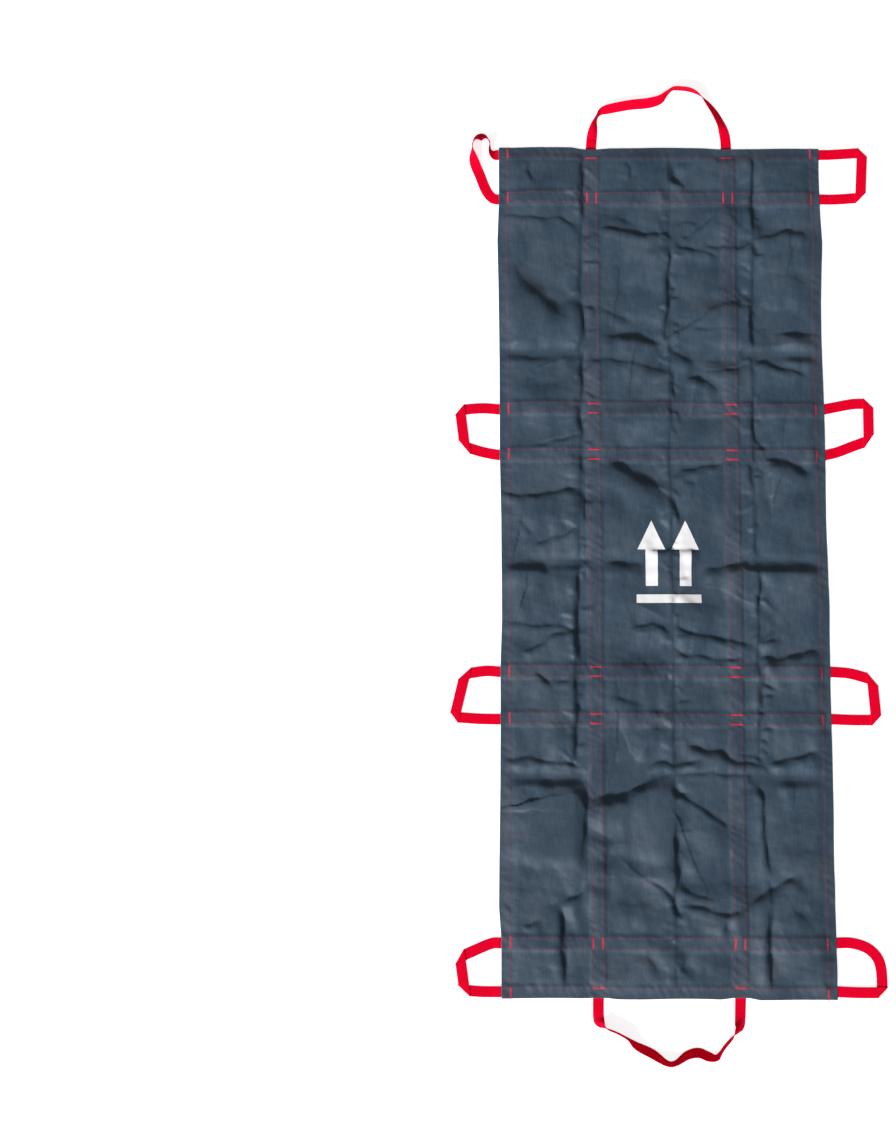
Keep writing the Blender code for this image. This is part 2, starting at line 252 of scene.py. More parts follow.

# %% [markdown]
# ## Creases
#
# The main creases are drawn where the photograph shows them, one list for each quarter
# of the sheet. Each crease is (width, steepness, points), with its width in
# millimetres and its points in pixels of the photograph. Looking along the points, its right
# side is the high side: a rounded crest of about that width that drops to a sharp line.
# Short creases branch off the packet's folds by a rule instead, because nobody could tell
# one from another.

# %% Creases of the head quarter
HEAD_CREASES = [
    (9, 0.38, [(500, 216), (540, 219), (560, 219), (572, 226), (580, 232)]),
    (12, 0.62, [(596, 228), (615, 231), (640, 234), (665, 236), (674, 241)]),
    (44, 0.50, [(507, 253), (520, 275), (535, 293), (552, 308), (566, 321), (575, 327)]),
    (11, 0.50, [(672, 241), (680, 248), (700, 251), (720, 259)]),
    (9, 0.42, [(700, 248), (740, 247), (753, 244)]),
    (16, 0.62, [(752, 240), (770, 237), (786, 230), (800, 232), (808, 240)]),
    (10, 0.68, [(668, 248), (667, 300), (664, 345)]),
    (10, 0.70, [(582, 153), (583, 185), (583, 228)]),
    (9, 0.43, [(580, 262), (579, 285), (581, 300)]),
    (12, 0.84, [(581, 298), (583, 325), (584, 348)]),
    (7, 0.51, [(530, 160), (528, 172), (534, 188)]),
    (7, 0.46, [(625, 160), (630, 172), (628, 184)]),
    (11, 0.65, [(671, 163), (674, 180), (681, 191)]),
    (8, 0.34, [(713, 155), (721, 164)]),
    (10, 0.54, [(751, 155), (751, 190), (752, 232)]),
    (9, 0.57, [(753, 240), (757, 264)]),
    (8, 0.34, [(673, 226), (685, 222), (700, 224)]),
    (8, 0.38, [(678, 238), (690, 236), (700, 228), (716, 214)]),
    (8, 0.32, [(727, 212), (735, 222), (745, 230)]),
    (12, 0.32, [(600, 306), (620, 318), (640, 328)]),
    (20, 0.46, [(741, 283), (738, 310), (743, 332)]),
    (6, 0.38, [(664, 341), (680, 331), (700, 318), (718, 302)]),
    (6, 0.32, [(690, 329), (740, 330), (747, 334)]),
]
print("creases of the head quarter", len(HEAD_CREASES))

# %% Creases of the upper quarter
UPPER_CREASES = [
    (25, 0.85, [(598, 334), (612, 338), (635, 337), (650, 341), (667, 349)]),
    (14, 0.62, [(665, 348), (680, 356), (696, 363)]),
    (16, 0.28, [(698, 361), (720, 363), (745, 361)]),
    (20, 0.95, [(750, 300), (749, 325), (751, 350)]),
    (20, 0.85, [(768, 333), (800, 332), (822, 334)]),
    (30, 0.22, [(757, 343), (790, 345), (822, 342)]),
    (9, 0.38, [(500, 355), (530, 358), (574, 355)]),
    (14, 0.38, [(583, 360), (610, 361), (640, 365), (660, 372), (669, 379)]),
    (12, 0.52, [(700, 373), (730, 370), (754, 364)]),
    (10, 0.58, [(752, 360), (770, 365), (790, 370), (808, 376)]),
    (14, 0.62, [(682, 380), (695, 378), (706, 383), (720, 394)]),
    (10, 0.70, [(671, 368), (673, 385), (674, 402)]),
    (9, 0.57, [(583, 348), (581, 375), (582, 402)]),
    (10, 0.65, [(579, 402), (579, 420), (582, 437)]),
    (10, 0.57, [(752, 398), (753, 425), (756, 446)]),
    (7, 0.38, [(535, 448), (555, 441), (583, 436)]),
    (8, 0.57, [(581, 452), (584, 478)]),
    (26, 0.72, [(600, 458), (620, 468), (640, 478), (660, 488), (672, 493)]),
    (10, 0.48, [(671, 481), (682, 471), (700, 467), (724, 465)]),
    (8, 0.42, [(680, 480), (697, 485)]),
    (12, 0.70, [(748, 456), (750, 472), (752, 486)]),
    (22, 0.80, [(753, 465), (768, 460), (785, 463), (800, 470), (815, 474)]),
    (11, 0.54, [(497, 494), (520, 497), (550, 494), (581, 488)]),
    (9, 0.65, [(583, 488), (584, 505), (585, 527)]),
    (12, 0.65, [(671, 492), (676, 510), (680, 527)]),
    (6, 0.32, [(517, 518), (524, 528), (532, 538)]),
    (9, 0.42, [(531, 548), (550, 540), (565, 535), (578, 527)]),
]
print("creases of the upper quarter", len(UPPER_CREASES))

# %% Creases of the lower quarter
LOWER_CREASES = [
    (20, 0.75, [(498, 557), (512, 565), (527, 562), (540, 567), (550, 577)]),
    (14, 0.62, [(560, 564), (575, 562), (592, 564)]),
    (14, 0.62, [(600, 562), (620, 564), (645, 567)]),
    (12, 0.52, [(645, 551), (670, 550), (702, 552)]),
    (18, 0.78, [(698, 566), (735, 567), (748, 562), (765, 562), (795, 564), (823, 564)]),
    (11, 0.70, [(577, 570), (578, 592), (576, 620), (578, 645), (579, 665)]),
    (13, 0.81, [(757, 568), (760, 590), (757, 606), (752, 613)]),
    (8, 0.38, [(500, 623), (530, 626), (560, 627), (576, 633), (592, 627)]),
    (9, 0.50, [(518, 653), (540, 646), (550, 638), (562, 634), (578, 633)]),
    (12, 0.52, [(628, 628), (650, 624), (662, 629), (671, 637)]),
    (11, 0.54, [(671, 627), (690, 633), (705, 637), (730, 640), (757, 646)]),
    (10, 0.54, [(755, 646), (770, 640), (782, 641)]),
    (8, 0.44, [(671, 645), (682, 655), (700, 657), (720, 660), (745, 658)]),
    (15, 0.64, [(758, 655), (775, 659), (800, 655), (822, 648)]),
    (12, 0.62, [(531, 673), (545, 681), (554, 689)]),
    (8, 0.38, [(552, 683), (565, 682), (575, 684)]),
    (10, 0.57, [(764, 668), (761, 690), (762, 712)]),
    (16, 0.38, [(606, 696), (625, 701), (646, 709)]),
    (12, 0.32, [(648, 711), (672, 712)]),
    (10, 0.51, [(574, 672), (578, 700), (576, 732), (577, 765)]),
]
print("creases of the lower quarter", len(LOWER_CREASES))

# %% Creases of the foot quarter
FOOT_CREASES = [
    (9, 0.50, [(498, 764), (515, 761), (530, 757), (546, 764), (568, 764), (580, 771)]),
    (8, 0.42, [(545, 771), (565, 771), (580, 774)]),
    (14, 0.62, [(534, 766), (540, 778), (549, 785), (558, 788)]),
    (34, 1.10, [(577, 771), (583, 790), (586, 810), (583, 840), (581, 874)]),
    (14, 0.70, [(558, 905), (571, 899), (583, 893), (588, 881)]),
    (12, 0.76, [(563, 906), (562, 930), (560, 950), (564, 966), (565, 984)]),
    (34, 1.05, [(583, 783), (600, 790), (612, 795), (628, 792), (645, 787), (660, 779),
                (676, 774)]),
    (9, 0.46, [(672, 774), (700, 774), (757, 775)]),
    (11, 0.54, [(600, 772), (640, 771), (655, 764), (665, 763), (673, 766), (690, 762),
                (704, 760)]),
    (13, 0.62, [(684, 744), (705, 751), (720, 753), (733, 761), (750, 763), (767, 768)]),
    (9, 0.46, [(735, 754), (755, 756), (768, 764)]),
    (13, 0.66, [(765, 767), (785, 759), (805, 755), (822, 751)]),
    (8, 0.48, [(669, 786), (685, 799), (700, 807), (715, 817), (730, 829)]),
    (9, 0.68, [(757, 783), (763, 800), (765, 840), (768, 865), (773, 877)]),
    (20, 0.95, [(673, 820), (676, 850), (677, 880), (675, 897)]),
    (14, 0.25, [(612, 835), (606, 855), (605, 880)]),
    (7, 0.10, [(618, 857), (640, 875), (660, 890), (674, 897)]),
    (9, 0.45, [(650, 880), (668, 894), (677, 898)]),
    (8, 0.38, [(679, 886), (700, 897), (714, 902)]),
    (10, 0.54, [(678, 905), (700, 907), (715, 914), (728, 914), (745, 910)]),
    (14, 0.75, [(743, 910), (760, 898), (780, 886), (799, 871)]),
    (8, 0.65, [(671, 893), (674, 905), (684, 921)]),
    (14, 0.86, [(767, 903), (768, 935), (770, 960), (771, 986)]),
    (9, 0.57, [(725, 916), (727, 937)]),
    (18, 0.48, [(643, 950), (653, 963), (660, 977)]),
    (18, 0.55, [(690, 950), (684, 963), (678, 977)]),
    (40, 0.22, [(770, 850), (795, 852), (822, 850)]),
    (8, 0.42, [(518, 925), (530, 926), (542, 921)]),
    (8, 0.38, [(503, 903), (516, 916)]),
    (24, 0.22, [(503, 887), (525, 891), (552, 891)]),
    (20, 0.22, [(715, 880), (740, 887), (765, 884)]),
]
print("creases of the foot quarter", len(FOOT_CREASES))

# %% Broad, shallow drops that shade whole areas
BROAD_CREASES = [
    (30, 0.30, [(594, 213), (620, 221), (646, 229)]),
    (30, 0.41, [(756, 203), (758, 238)]),
    (38, 0.30, [(676, 398), (678, 442)]),
    (40, 0.20, [(756, 404), (785, 403), (815, 408)]),
    (26, 0.49, [(757, 293), (758, 337)]),
    (40, 0.20, [(503, 507), (550, 501), (600, 503), (646, 507)]),
    (30, 0.22, [(768, 271), (795, 278), (814, 286)]),
    (36, 0.22, [(505, 385), (540, 388), (572, 384)]),
    (50, 0.24, [(672, 600), (700, 603), (727, 613)]),
    (40, 0.22, [(543, 722), (578, 726)]),
    (28, 0.36, [(643, 721), (656, 728), (669, 737)]),
    (20, 0.32, [(769, 778), (795, 776), (816, 783)]),
    (24, 0.32, [(784, 899), (800, 915), (816, 932)]),
    (30, 0.24, [(598, 904), (640, 905), (669, 904)]),
    (34, 0.22, [(690, 815), (715, 828), (745, 838)]),
    (36, 0.20, [(515, 800), (545, 806), (572, 804)]),
    (34, 0.24, [(600, 655), (635, 660), (668, 656)]),
]
print("broad creases", len(BROAD_CREASES))

# %% Folds of the packet, pressed in all the way along the sheet
PACKET_FOLDS = [
    (7, 0.32, [(580.5, 154), (580.5, 300), (581, 470), (578, 560), (575, 660), (575, 765)]),
    (7, 0.27, [(669, 156), (669, 300), (670, 470), (673, 620), (674, 760), (676, 992)]),
    (7, 0.32, [(752, 156), (752, 300), (753, 480), (758, 600), (759, 765)]),
    (7, 0.30, [(562, 905), (564, 940), (566, 990)]),
    (7, 0.30, [(771, 878), (771, 930), (772, 992)]),
]
print("packet folds", len(PACKET_FOLDS))

# %% Ridges
# Each ridge is (height, width, points): a pinched line that catches the light.
RIDGES = [
    (2.2, 5, [(533, 369), (560, 362), (579, 354)]),
    (2.6, 5, [(700, 369), (722, 369), (740, 363), (757, 350)]),
    (2.0, 5, [(615, 855), (635, 872), (655, 887), (668, 892)]),
    (1.6, 5, [(535, 444), (555, 437), (582, 432)]),
    (1.6, 5, [(661, 468), (664, 478), (670, 486)]),
    (1.8, 8, [(628, 600), (650, 610), (672, 623)]),
    (1.6, 5, [(672, 770), (690, 766), (705, 770)]),
    (2.4, 9, [(668, 958), (669, 972), (669, 988)]),
]
print("ridges", len(RIDGES))

# %% Short slanting creases that branch off the long folds, from a fixed seed
LONG_FOLDS = PACKET_FOLDS[:3]
FIRST_BRANCH = 6.0        # these lengths are in pixels of the photograph, as the lists are
BRANCH_REACH = (7.0, 22.0)
BRANCH_SPACING = (7.0, 18.0)
BRANCH_SLANT = 0.9        # radians up or down, at most
BRANCH_WIDTH = (4.0, 8.0)
BRANCH_STEEPNESS = (0.25, 0.6)
branching = np.random.default_rng(5)
BRANCHES = []
for _, _, line in LONG_FOLDS:
    columns, rows = zip(*line)
    row = rows[0] + FIRST_BRANCH
    while row < rows[-1]:
        column = np.interp(row, rows, columns)
        side = 1.0 if branching.random() < 0.5 else -1.0
        reach = branching.uniform(*BRANCH_REACH)
        slant = branching.uniform(-BRANCH_SLANT, BRANCH_SLANT)
        tip = (column + side * reach * math.cos(slant), row + reach * math.sin(slant))
        BRANCHES.append((branching.uniform(*BRANCH_WIDTH), branching.uniform(*BRANCH_STEEPNESS),
                         [(column, row), tip]))
        row += branching.uniform(*BRANCH_SPACING)
ALL_CREASES = (HEAD_CREASES + UPPER_CREASES + LOWER_CREASES + FOOT_CREASES + BROAD_CREASES
               + PACKET_FOLDS + BRANCHES)
print("creases in all", len(ALL_CREASES), "of which branches", len(BRANCHES))


# %% Distance from a crease
def eased(t):
    """0 to 1 with soft ends, for t from 0 to 1."""
    t = np.clip(t, 0.0, 1.0)
    return t * t * (3.0 - 2.0 * t)


def from_line(x, y, line):
    """Each point's distance from a line, the same signed by side, its share of the way along
    the line, and the line's length."""
    nearest = np.full(x.shape, 1.0e9)
    signed = np.zeros(x.shape)
    along = np.zeros(x.shape)
    gone = 0.0
    for (ax, ay), (bx, by) in zip(line, line[1:]):
        length = math.hypot(bx - ax, by - ay)
        ux = (bx - ax) / length
        uy = (by - ay) / length
        t = np.clip((x - ax) * ux + (y - ay) * uy, 0.0, length)
        dx = x - ax - t * ux
        dy = y - ay - t * uy
        distance = np.hypot(dx, dy)
        closer = distance < nearest
        nearest = np.where(closer, distance, nearest)
        signed = np.where(closer, np.copysign(distance, ux * dy - uy * dx), signed)
        along = np.where(closer, gone + t, along)
        gone += length
    return nearest, signed, along / gone, gone


FADE = 10.0               # a crease fades out over this length at its ends, and over
FADE_PER_WIDTH = 1.7      # this much more for each millimetre of its width


def faded(share, length, width):
    """1 along a line, easing to 0 at its ends, the slower the wider the crease is."""
    fade = min(0.48, (FADE + FADE_PER_WIDTH * width) / length)
    return eased(share / fade) * eased((1.0 - share) / fade)


def near_line(x, y, line, reach):
    """Which points lie in the box round a line, widened by reach."""
    xs = [p[0] for p in line]
    ys = [p[1] for p in line]
    return ((x > min(xs) - reach) & (x < max(xs) + reach)
            & (y > min(ys) - reach) & (y < max(ys) + reach))


print("a crease 20 mm wide fades out over", FADE + FADE_PER_WIDTH * 20.0, "mm")

# %% One crease
ROUNDING = 0.85           # radius of a crest, for each millimetre of its crease's width
DECAY = 2.4               # the relief dies away over this many roundings
DECAY_MORE = 8.0          # and this much more
CREST_DEPTH = 1.7         # height of a crest in roundings, for a steepness of 1
VALLEY_SHARE = 0.45       # the valley beside it is this share as deep
PINCH = 1.12              # depth of the sharp line, for a steepness of 1
PINCH_WIDTH = 2.6
PINCH_DECAY = 9.0


def add_crease(relief, x, y, crease):
    """Adds one crease to the relief of the points near it."""
    width, steepness, pixels = crease
    line = [on_sheet(*pixel) for pixel in pixels]
    rounding = ROUNDING * width
    decay = DECAY * rounding + DECAY_MORE
    near = near_line(x, y, line, 5.0 * decay)
    if near.any():
        nearest, signed, share, length = from_line(x[near], y[near], line)
        uneven = 1.0 + 0.2 * np.sin(0.09 * share * length + width + pixels[0][0])
        dying = np.exp(-nearest / decay)
        climb = np.minimum(nearest / (2.0 * rounding), 1.0)
        crest = np.sin(0.5 * math.pi * climb) * dying
        drop_width = 0.28 * rounding + 0.007 * rounding ** 2
        valley = -VALLEY_SHARE * (1.0 - np.exp(-nearest / drop_width)) * dying
        broad = CREST_DEPTH * rounding * np.where(signed < 0.0, crest, valley)
        pinched = -PINCH * np.tanh(signed / PINCH_WIDTH) * np.exp(-nearest / PINCH_DECAY)
        relief[near] += steepness * (broad + pinched) * uneven * faded(share, length, width)


def add_ridge(relief, x, y, ridge):
    """Adds one pinched ridge to the relief of the points near it."""
    height, width, pixels = ridge
    line = [on_sheet(*pixel) for pixel in pixels]
    near = near_line(x, y, line, 5.0 * width)
    if near.any():
        nearest, _, share, length = from_line(x[near], y[near], line)
        relief[near] += height * np.exp(-nearest / width) * faded(share, length, width)


def creased(x, y):
    """The relief of all creases and ridges, which wander a little off their lines."""
    x_off = x + 1.3 * np.sin(0.047 * y + 0.019 * x + 1.0) + 0.8 * np.sin(0.113 * y - 0.07 * x)
    y_off = y + 1.8 * np.sin(0.052 * x - 0.021 * y + 2.0) + 1.2 * np.sin(0.121 * x + 0.08 * y)
    relief = np.zeros(x.shape)
    for crease in ALL_CREASES:
        add_crease(relief, x_off, y_off, crease)
    for ridge in RIDGES:
        add_ridge(relief, x_off, y_off, ridge)
    return relief


along_middle = np.linspace(-900.0, 900.0, 400)
print("creases reach from", round(float(creased(0.0 * along_middle, along_middle).min()), 1),
      "to", round(float(creased(0.0 * along_middle, along_middle).max()), 1), "mm")

# %% Soft waves between the creases
# Plane waves of many lengths and directions, all small, from a fixed seed.
WAVE_SIZES = ((330.0, 1.5), (240.0, 1.2), (170.0, 0.9), (120.0, 0.6), (85.0, 0.42),
              (60.0, 0.28), (44.0, 0.2), (32.0, 0.13), (23.0, 0.08))    # (length, height)
WAVES_OF_A_SIZE = 5
WAVE_STRENGTH = 0.55
drawn = np.random.default_rng(12)
WAVES = []
for length, height in WAVE_SIZES:
    for _ in range(WAVES_OF_A_SIZE):
        angle = drawn.uniform(0.0, math.pi)
        WAVES.append((2.0 * math.pi / (length * drawn.uniform(0.8, 1.2)), angle,
                      drawn.uniform(0.0, 2.0 * math.pi), height * drawn.uniform(0.5, 1.0)))


def waving(x, y):
    """The soft waves' height at each point."""
    total = np.zeros(x.shape)
    for pace, angle, start, height in WAVES:
        along = x * math.cos(angle) + y * math.sin(angle)
        bend = 0.7 * np.sin(0.011 * (x * math.sin(angle) - y * math.cos(angle)) + start)
        total += height * np.sin(pace * along + start + bend) * WAVE_STRENGTH
    return total


print("waves", len(WAVES))

# %% Pressed-in facets
# Folded waves, whose valleys are sharp, each strong in some patches only.
FACET_SIZES = ((210.0, 2.0), (150.0, 1.5), (105.0, 1.1), (70.0, 0.8), (48.0, 0.5))
FACETS_OF_A_SIZE = 4
FACET_STRENGTH = 0.6
VALLEY_ROUNDING = 0.004
FACETS = []
for length, height in FACET_SIZES:
    for _ in range(FACETS_OF_A_SIZE):
        FACETS.append((math.pi / (length * drawn.uniform(0.85, 1.2)),
                       drawn.uniform(0.0, math.pi), drawn.uniform(0.0, 2.0 * math.pi),
                       drawn.uniform(0.0, math.pi), height * drawn.uniform(0.7, 1.0)))


def faceted(x, y):
    """The facets' height at each point."""
    total = np.zeros(x.shape)
    for pace, angle, start, patch, height in FACETS:
        along = x * math.cos(angle) + y * math.sin(angle)
        aside = x * math.sin(angle) - y * math.cos(angle)
        bend = 0.5 * np.sin(0.016 * aside + start) + 0.3 * np.sin(0.035 * aside + patch)
        strong = eased(0.5 + 0.9 * np.sin(0.009 * x * math.cos(patch) + 0.012 * aside + start)
                       * np.sin(0.011 * y * math.sin(patch) + 0.008 * along + patch))
        folded = np.sqrt(np.sin(pace * along + bend + start) ** 2 + VALLEY_ROUNDING)
        total += height * (folded - 0.6) * strong
    return total * FACET_STRENGTH


print("facets", len(FACETS))


# %% Distances from the webbing and the folds
def band(distance, inside, outside):
    """1 within inside of a line, easing to 0 at outside."""
    return eased((outside - distance) / (outside - inside))


def from_straps(x):
    """Distance from the nearer long strap's middle line."""
    return np.abs(np.abs(x) - STRAP_X)


def from_runs(y):
    """Distance from the nearest cross run's middle line."""
    return np.min([np.abs(y - run) for run in RUN_Y], axis=0)


def inside_side(x):
    """Distance from the nearer side edge."""
    return HALF_WIDTH - np.abs(x)


def inside_end(y):
    """Distance from the nearer end edge."""
    return HALF_LENGTH - np.abs(y)


def from_side_fold(x):
    """Distance from the nearer side fold."""
    return np.abs(np.abs(x) - SIDE_FOLD)


def from_cross_fold(y):
    """Distance from the nearest of the three cross folds."""
    return np.minimum(np.abs(np.abs(y) - CROSS_FOLD), np.abs(y))


print("the print's middle lies", round(float(from_runs(np.array(0.0))), 1), "mm from a cross run")

# %% [markdown]
# ## Height of every layer
#
# The lift is what the creases, waves and facets add to the flat model's levels. It is held
# back where something holds the cloth down: where webbing crosses, where a handle comes out,
# and at the folds, most of all where the side pieces are cut off at a cross fold. The cloth's
# upper face then sags between the webbings and puckers along the rows of stitches.

# %% Lift
WAVE_SHARE = 1.4
FACET_SHARE = 1.7
LOOSE_LIFT = 7.0          # the loose cloth lies this much over the webbing's own level
SETTLED = 0.4             # and all of it this much lower
EDGE_REACH = 45.0         # it is held down within this distance of an edge
TALL = 13.0               # relief over this height is pressed
TALL_ROOM = 8.0           # into this much more
SINK = 1.7                # a valley may go this far under the flat model's level
FOLD_HOLD = 0.2           # share of the lift that is lost along the folds
CUT_HOLD = 0.75           # and where side pieces are cut off
UNDER_REACH = 4.5         # how far beside a point the lowest lift is looked for


def lift(x, y):
    """How much higher than in the flat CAD model the webbing and cloth lie, in mm."""
    loose = eased(np.minimum(inside_side(x), inside_end(y)) / EDGE_REACH)
    relief = WAVE_SHARE * waving(x, y) + FACET_SHARE * faceted(x, y) + creased(x, y)
    raw = (0.5 + 0.5 * loose) * relief + LOOSE_LIFT * loose - SETTLED
    raw = np.where(raw > TALL, TALL + TALL_ROOM * np.tanh((raw - TALL) / TALL_ROOM), raw)
    near_fold = np.maximum(band(from_side_fold(x), 4.0, 30.0), band(from_cross_fold(y), 4.0, 30.0))
    in_side_piece = eased((np.abs(x) - SIDE_FOLD + 12.0) / 20.0)
    near_cut = band(from_cross_fold(y), 3.0, 26.0) * in_side_piece
    raw = raw * (1.0 - np.maximum(FOLD_HOLD * near_fold, CUT_HOLD * near_cut))
    crossing = band(from_straps(x), 18.0, 50.0) * band(from_runs(y), 18.0, 50.0)
    room = SINK * (1.0 - crossing)
    lowered = 0.5 * (raw - room + np.sqrt((raw + room) ** 2 + 0.6))
    side_exit = band(inside_side(x), 4.0, 34.0) * band(from_runs(y), 16.0, 40.0)
    end_exit = band(inside_end(y), 4.0, 34.0) * band(from_straps(x), 16.0, 40.0)
    return lowered * (1.0 - np.maximum(side_exit, end_exit))


def lift_under(x, y):
    """The lowest lift close to each point, so that webbing stays under a steep fold."""
    aside = ((0.0, 0.0), (UNDER_REACH, 0.0), (-UNDER_REACH, 0.0), (0.0, UNDER_REACH),
             (0.0, -UNDER_REACH))
    return np.min([lift(x + dx, y + dy) for dx, dy in aside], axis=0)


across_middle = np.linspace(-380.0, 380.0, 90)
print("lift along a slanting line, at most",
      round(float(lift(across_middle, across_middle * 2.6).max()), 1), "mm")

# %% The cloth's upper face
SAG = 2.3                 # of the cloth between webbings, down to the floor
HEM_STIFFNESS = 0.8       # the hem sags this much less
PUCKER_DRIFT = 3.5


def pucker(along, aside, height, pace, slant, drift):
    """Small waves along a seam, whose spacing drifts."""
    return height * np.sin(pace * along + slant * aside + PUCKER_DRIFT * np.sin(drift * along))


def cloth_top(x, y):
    """Height of the cloth's upper face over the floor, in mm. It sags between webbings."""
    on_web = np.maximum(band(from_straps(x), 12.0, 23.0), band(from_runs(y), 12.0, 23.0))
    in_hem = np.maximum(band(inside_side(x), 20.0, 26.0), band(inside_end(y), 20.0, 26.0))
    sag = (SAG - HEM_STIFFNESS * in_hem) * (1.0 - on_web)
    beside_side = band(np.abs(inside_side(x) - 13.0), 3.0, 22.0)
    beside_end = band(np.abs(inside_end(y) - 13.0), 3.0, 22.0)
    beside_straps = band(np.abs(from_straps(x) - ROW_OUT), 1.0, 13.0)
    beside_runs = band(np.abs(from_runs(y) - ROW_OUT), 1.0, 13.0)
    patchy = 0.5 + 0.5 * np.sin(0.031 * y + 0.017 * x) * np.sin(0.013 * y - 0.023 * x + 1.0)
    puckers = patchy * (beside_side * pucker(y, x, 0.45, 0.24, 0.12, 0.027)
                        + beside_end * pucker(x, y, 0.4, 0.23, 0.1, 0.025)
                        + beside_straps * pucker(y, x, 0.5, 0.3, 0.2, 0.031)
                        + beside_runs * pucker(x, y, 0.35, 0.31, 0.2, 0.029))
    return SHEET_TOP + lift(x, y) - sag + puckers


top = cloth_top(across_middle, across_middle * 2.6)
print("cloth from", round(float(top.min()), 1), "to", round(float(top.max()), 1), "mm")

# %% The sheet's outline
# The sides bow in and out a little between the handles: (place along, outwards) pairs.
LEFT_BOW = [(1000, 0), (875, 0), (775, 4), (660, 2), (483, 0), (255, 0), (101, -3),
            (-134, -4), (-250, 0), (-370, 0), (-520, 1), (-700, 4), (-800, 5), (-870, 0),
            (-1000, 0)]
RIGHT_BOW = [(1000, 0), (875, 0), (775, 5), (629, -2), (500, -2), (370, 0), (250, 0),
             (101, -1), (-120, 2), (-250, 0), (-370, 0), (-550, 1), (-700, -1), (-870, 0),
             (-1000, 0)]
SKEW = 2.6                # the right side lies this far towards the foot, in mm
END_OUT = 4.0             # the ends lie this far out,
END_OUT_HELD = 1.2        # or this far where a handle is sewn on
END_WAVE = 1.2
END_REACH = 150.0         # from an end, where that begins


def bowed(x, y):
    """Points moved sideways and lengthways to the sheet's slightly uneven outline."""
    reach = np.clip(np.abs(x) / HALF_WIDTH, 0.0, 1.0) ** 3
    bow = np.zeros(x.shape)
    for side, table in ((-1.0, LEFT_BOW), (1.0, RIGHT_BOW)):
        places = np.array(table[::-1], float)
        moved = np.interp(y, places[:, 0], places[:, 1])
        bow = np.where(np.sign(x) == side, side * moved, bow)
    end = np.clip((END_REACH - inside_end(y)) / END_REACH, 0.0, 1.0)
    held = end * band(from_straps(x), 14.0, 50.0)
    wave = END_WAVE * np.sin(0.021 * x + 0.6) * end * (1.0 - held)
    outwards = end * (END_OUT - (END_OUT - END_OUT_HELD) * held) + wave * np.sign(y)
    skewed = SKEW * x / HALF_WIDTH * (1.0 - held)
    return x + bow * reach, y + np.sign(y) * outwards - skewed


corner_x, corner_y = bowed(np.array([HALF_WIDTH]), np.array([HALF_LENGTH]))
print("head right corner at", round(float(corner_x[0]), 1), round(float(corner_y[0]), 1))

# %% [markdown]
# ## Finishes
#
# The cloth is a dull slate-blue coated weave: its colour is a little uneven, paler where it
# has been rubbed, and a fine over-and-under weave shows close up. The webbing is bright red
# and ribbed across, with painted shade that darkens it where the ribs are low. Both patterns
# follow the piece's own flat coordinates (its UV map, in metres), so they stay put when the
# cloth folds.

# %% Helpers for the finishes
def ramp_node(tree, factor, stops):
    """The colour of a ramp read at factor, with (position, colour) stops."""
    ramp = add_node(tree, "ShaderNodeValToRGB")
    while len(ramp.color_ramp.elements) < len(stops):
        ramp.color_ramp.elements.new(0.5)
    for element, (position, colour) in zip(ramp.color_ramp.elements, stops):
        element.position = position
        element.color = (*colour, 1.0)
    tree.links.new(factor, ramp.inputs["Fac"])
    return ramp.outputs["Color"]


def noise_node(tree, place, scale, detail, roughness=0.5):
    """A noise pattern, from 0 to 1, at the places given."""
    noise = add_node(tree, "ShaderNodeTexNoise", Scale=scale, Detail=detail, Roughness=roughness)
    tree.links.new(place, noise.inputs["Vector"])
    return noise.outputs["Fac"]


def bump_node(tree, height, strength, distance, under=None):
    """A bumpy normal, over another one if that is given."""
    bump = add_node(tree, "ShaderNodeBump", Strength=strength, Distance=distance)
    tree.links.new(height, bump.inputs["Height"])
    if under:
        tree.links.new(under, bump.inputs["Normal"])
    return bump.outputs["Normal"]


def flat_place(tree):
    """The piece's own flat coordinates, in metres."""
    return add_node(tree, "ShaderNodeTexCoord").outputs["UV"]


def across_and_along(tree, place):
    """The two parts of a flat place: across the strap or sheet, and along it."""
    parts = add_node(tree, "ShaderNodeSeparateXYZ")
    tree.links.new(place, parts.inputs["Vector"])
    return parts.outputs["X"], parts.outputs["Y"]


def multiplied(tree, first, second):
    """The product of two colours."""
    mix = add_node(tree, "ShaderNodeMix", data_type="RGBA", blend_type="MULTIPLY")
    mix.inputs["Factor"].default_value = 1.0
    tree.links.new(first, mix.inputs["A"])
    tree.links.new(second, mix.inputs["B"])
    return mix.outputs["Result"]


print("helpers for the finishes ready")

# %% Coated cloth: colour
CLOTH_COLOUR = (0.0385, 0.0645, 0.0965)
CLOTH_DARK = (0.0265, 0.0480, 0.0760)
CLOTH_PALE = (0.0640, 0.0860, 0.1130)
cloth_finish, tree, shader = node_material("slate_coated_cloth")
place = flat_place(tree)
patches = noise_node(tree, place, 9.0, 5.0, 0.62)
tone = ramp_node(tree, patches, [(0.28, CLOTH_DARK), (0.5, CLOTH_COLOUR), (0.74, CLOTH_PALE)])
stretched = add_node(tree, "ShaderNodeMapping", Scale=(260.0, 24.0, 1.0))
tree.links.new(place, stretched.inputs["Vector"])
streaks = ramp_node(tree, noise_node(tree, stretched.outputs["Vector"], 1.0, 3.0),
                    [(0.3, (0.88, 0.88, 0.89)), (0.72, (1.12, 1.12, 1.12))])
grain = ramp_node(tree, noise_node(tree, place, 520.0, 4.0, 0.7),
                  [(0.3, (0.8, 0.8, 0.82)), (0.7, (1.2, 1.2, 1.18))])
tree.links.new(multiplied(tree, multiplied(tree, tone, streaks), grain),
               shader.inputs["Base Color"])
print("cloth colour from", CLOTH_DARK, "to", CLOTH_PALE)

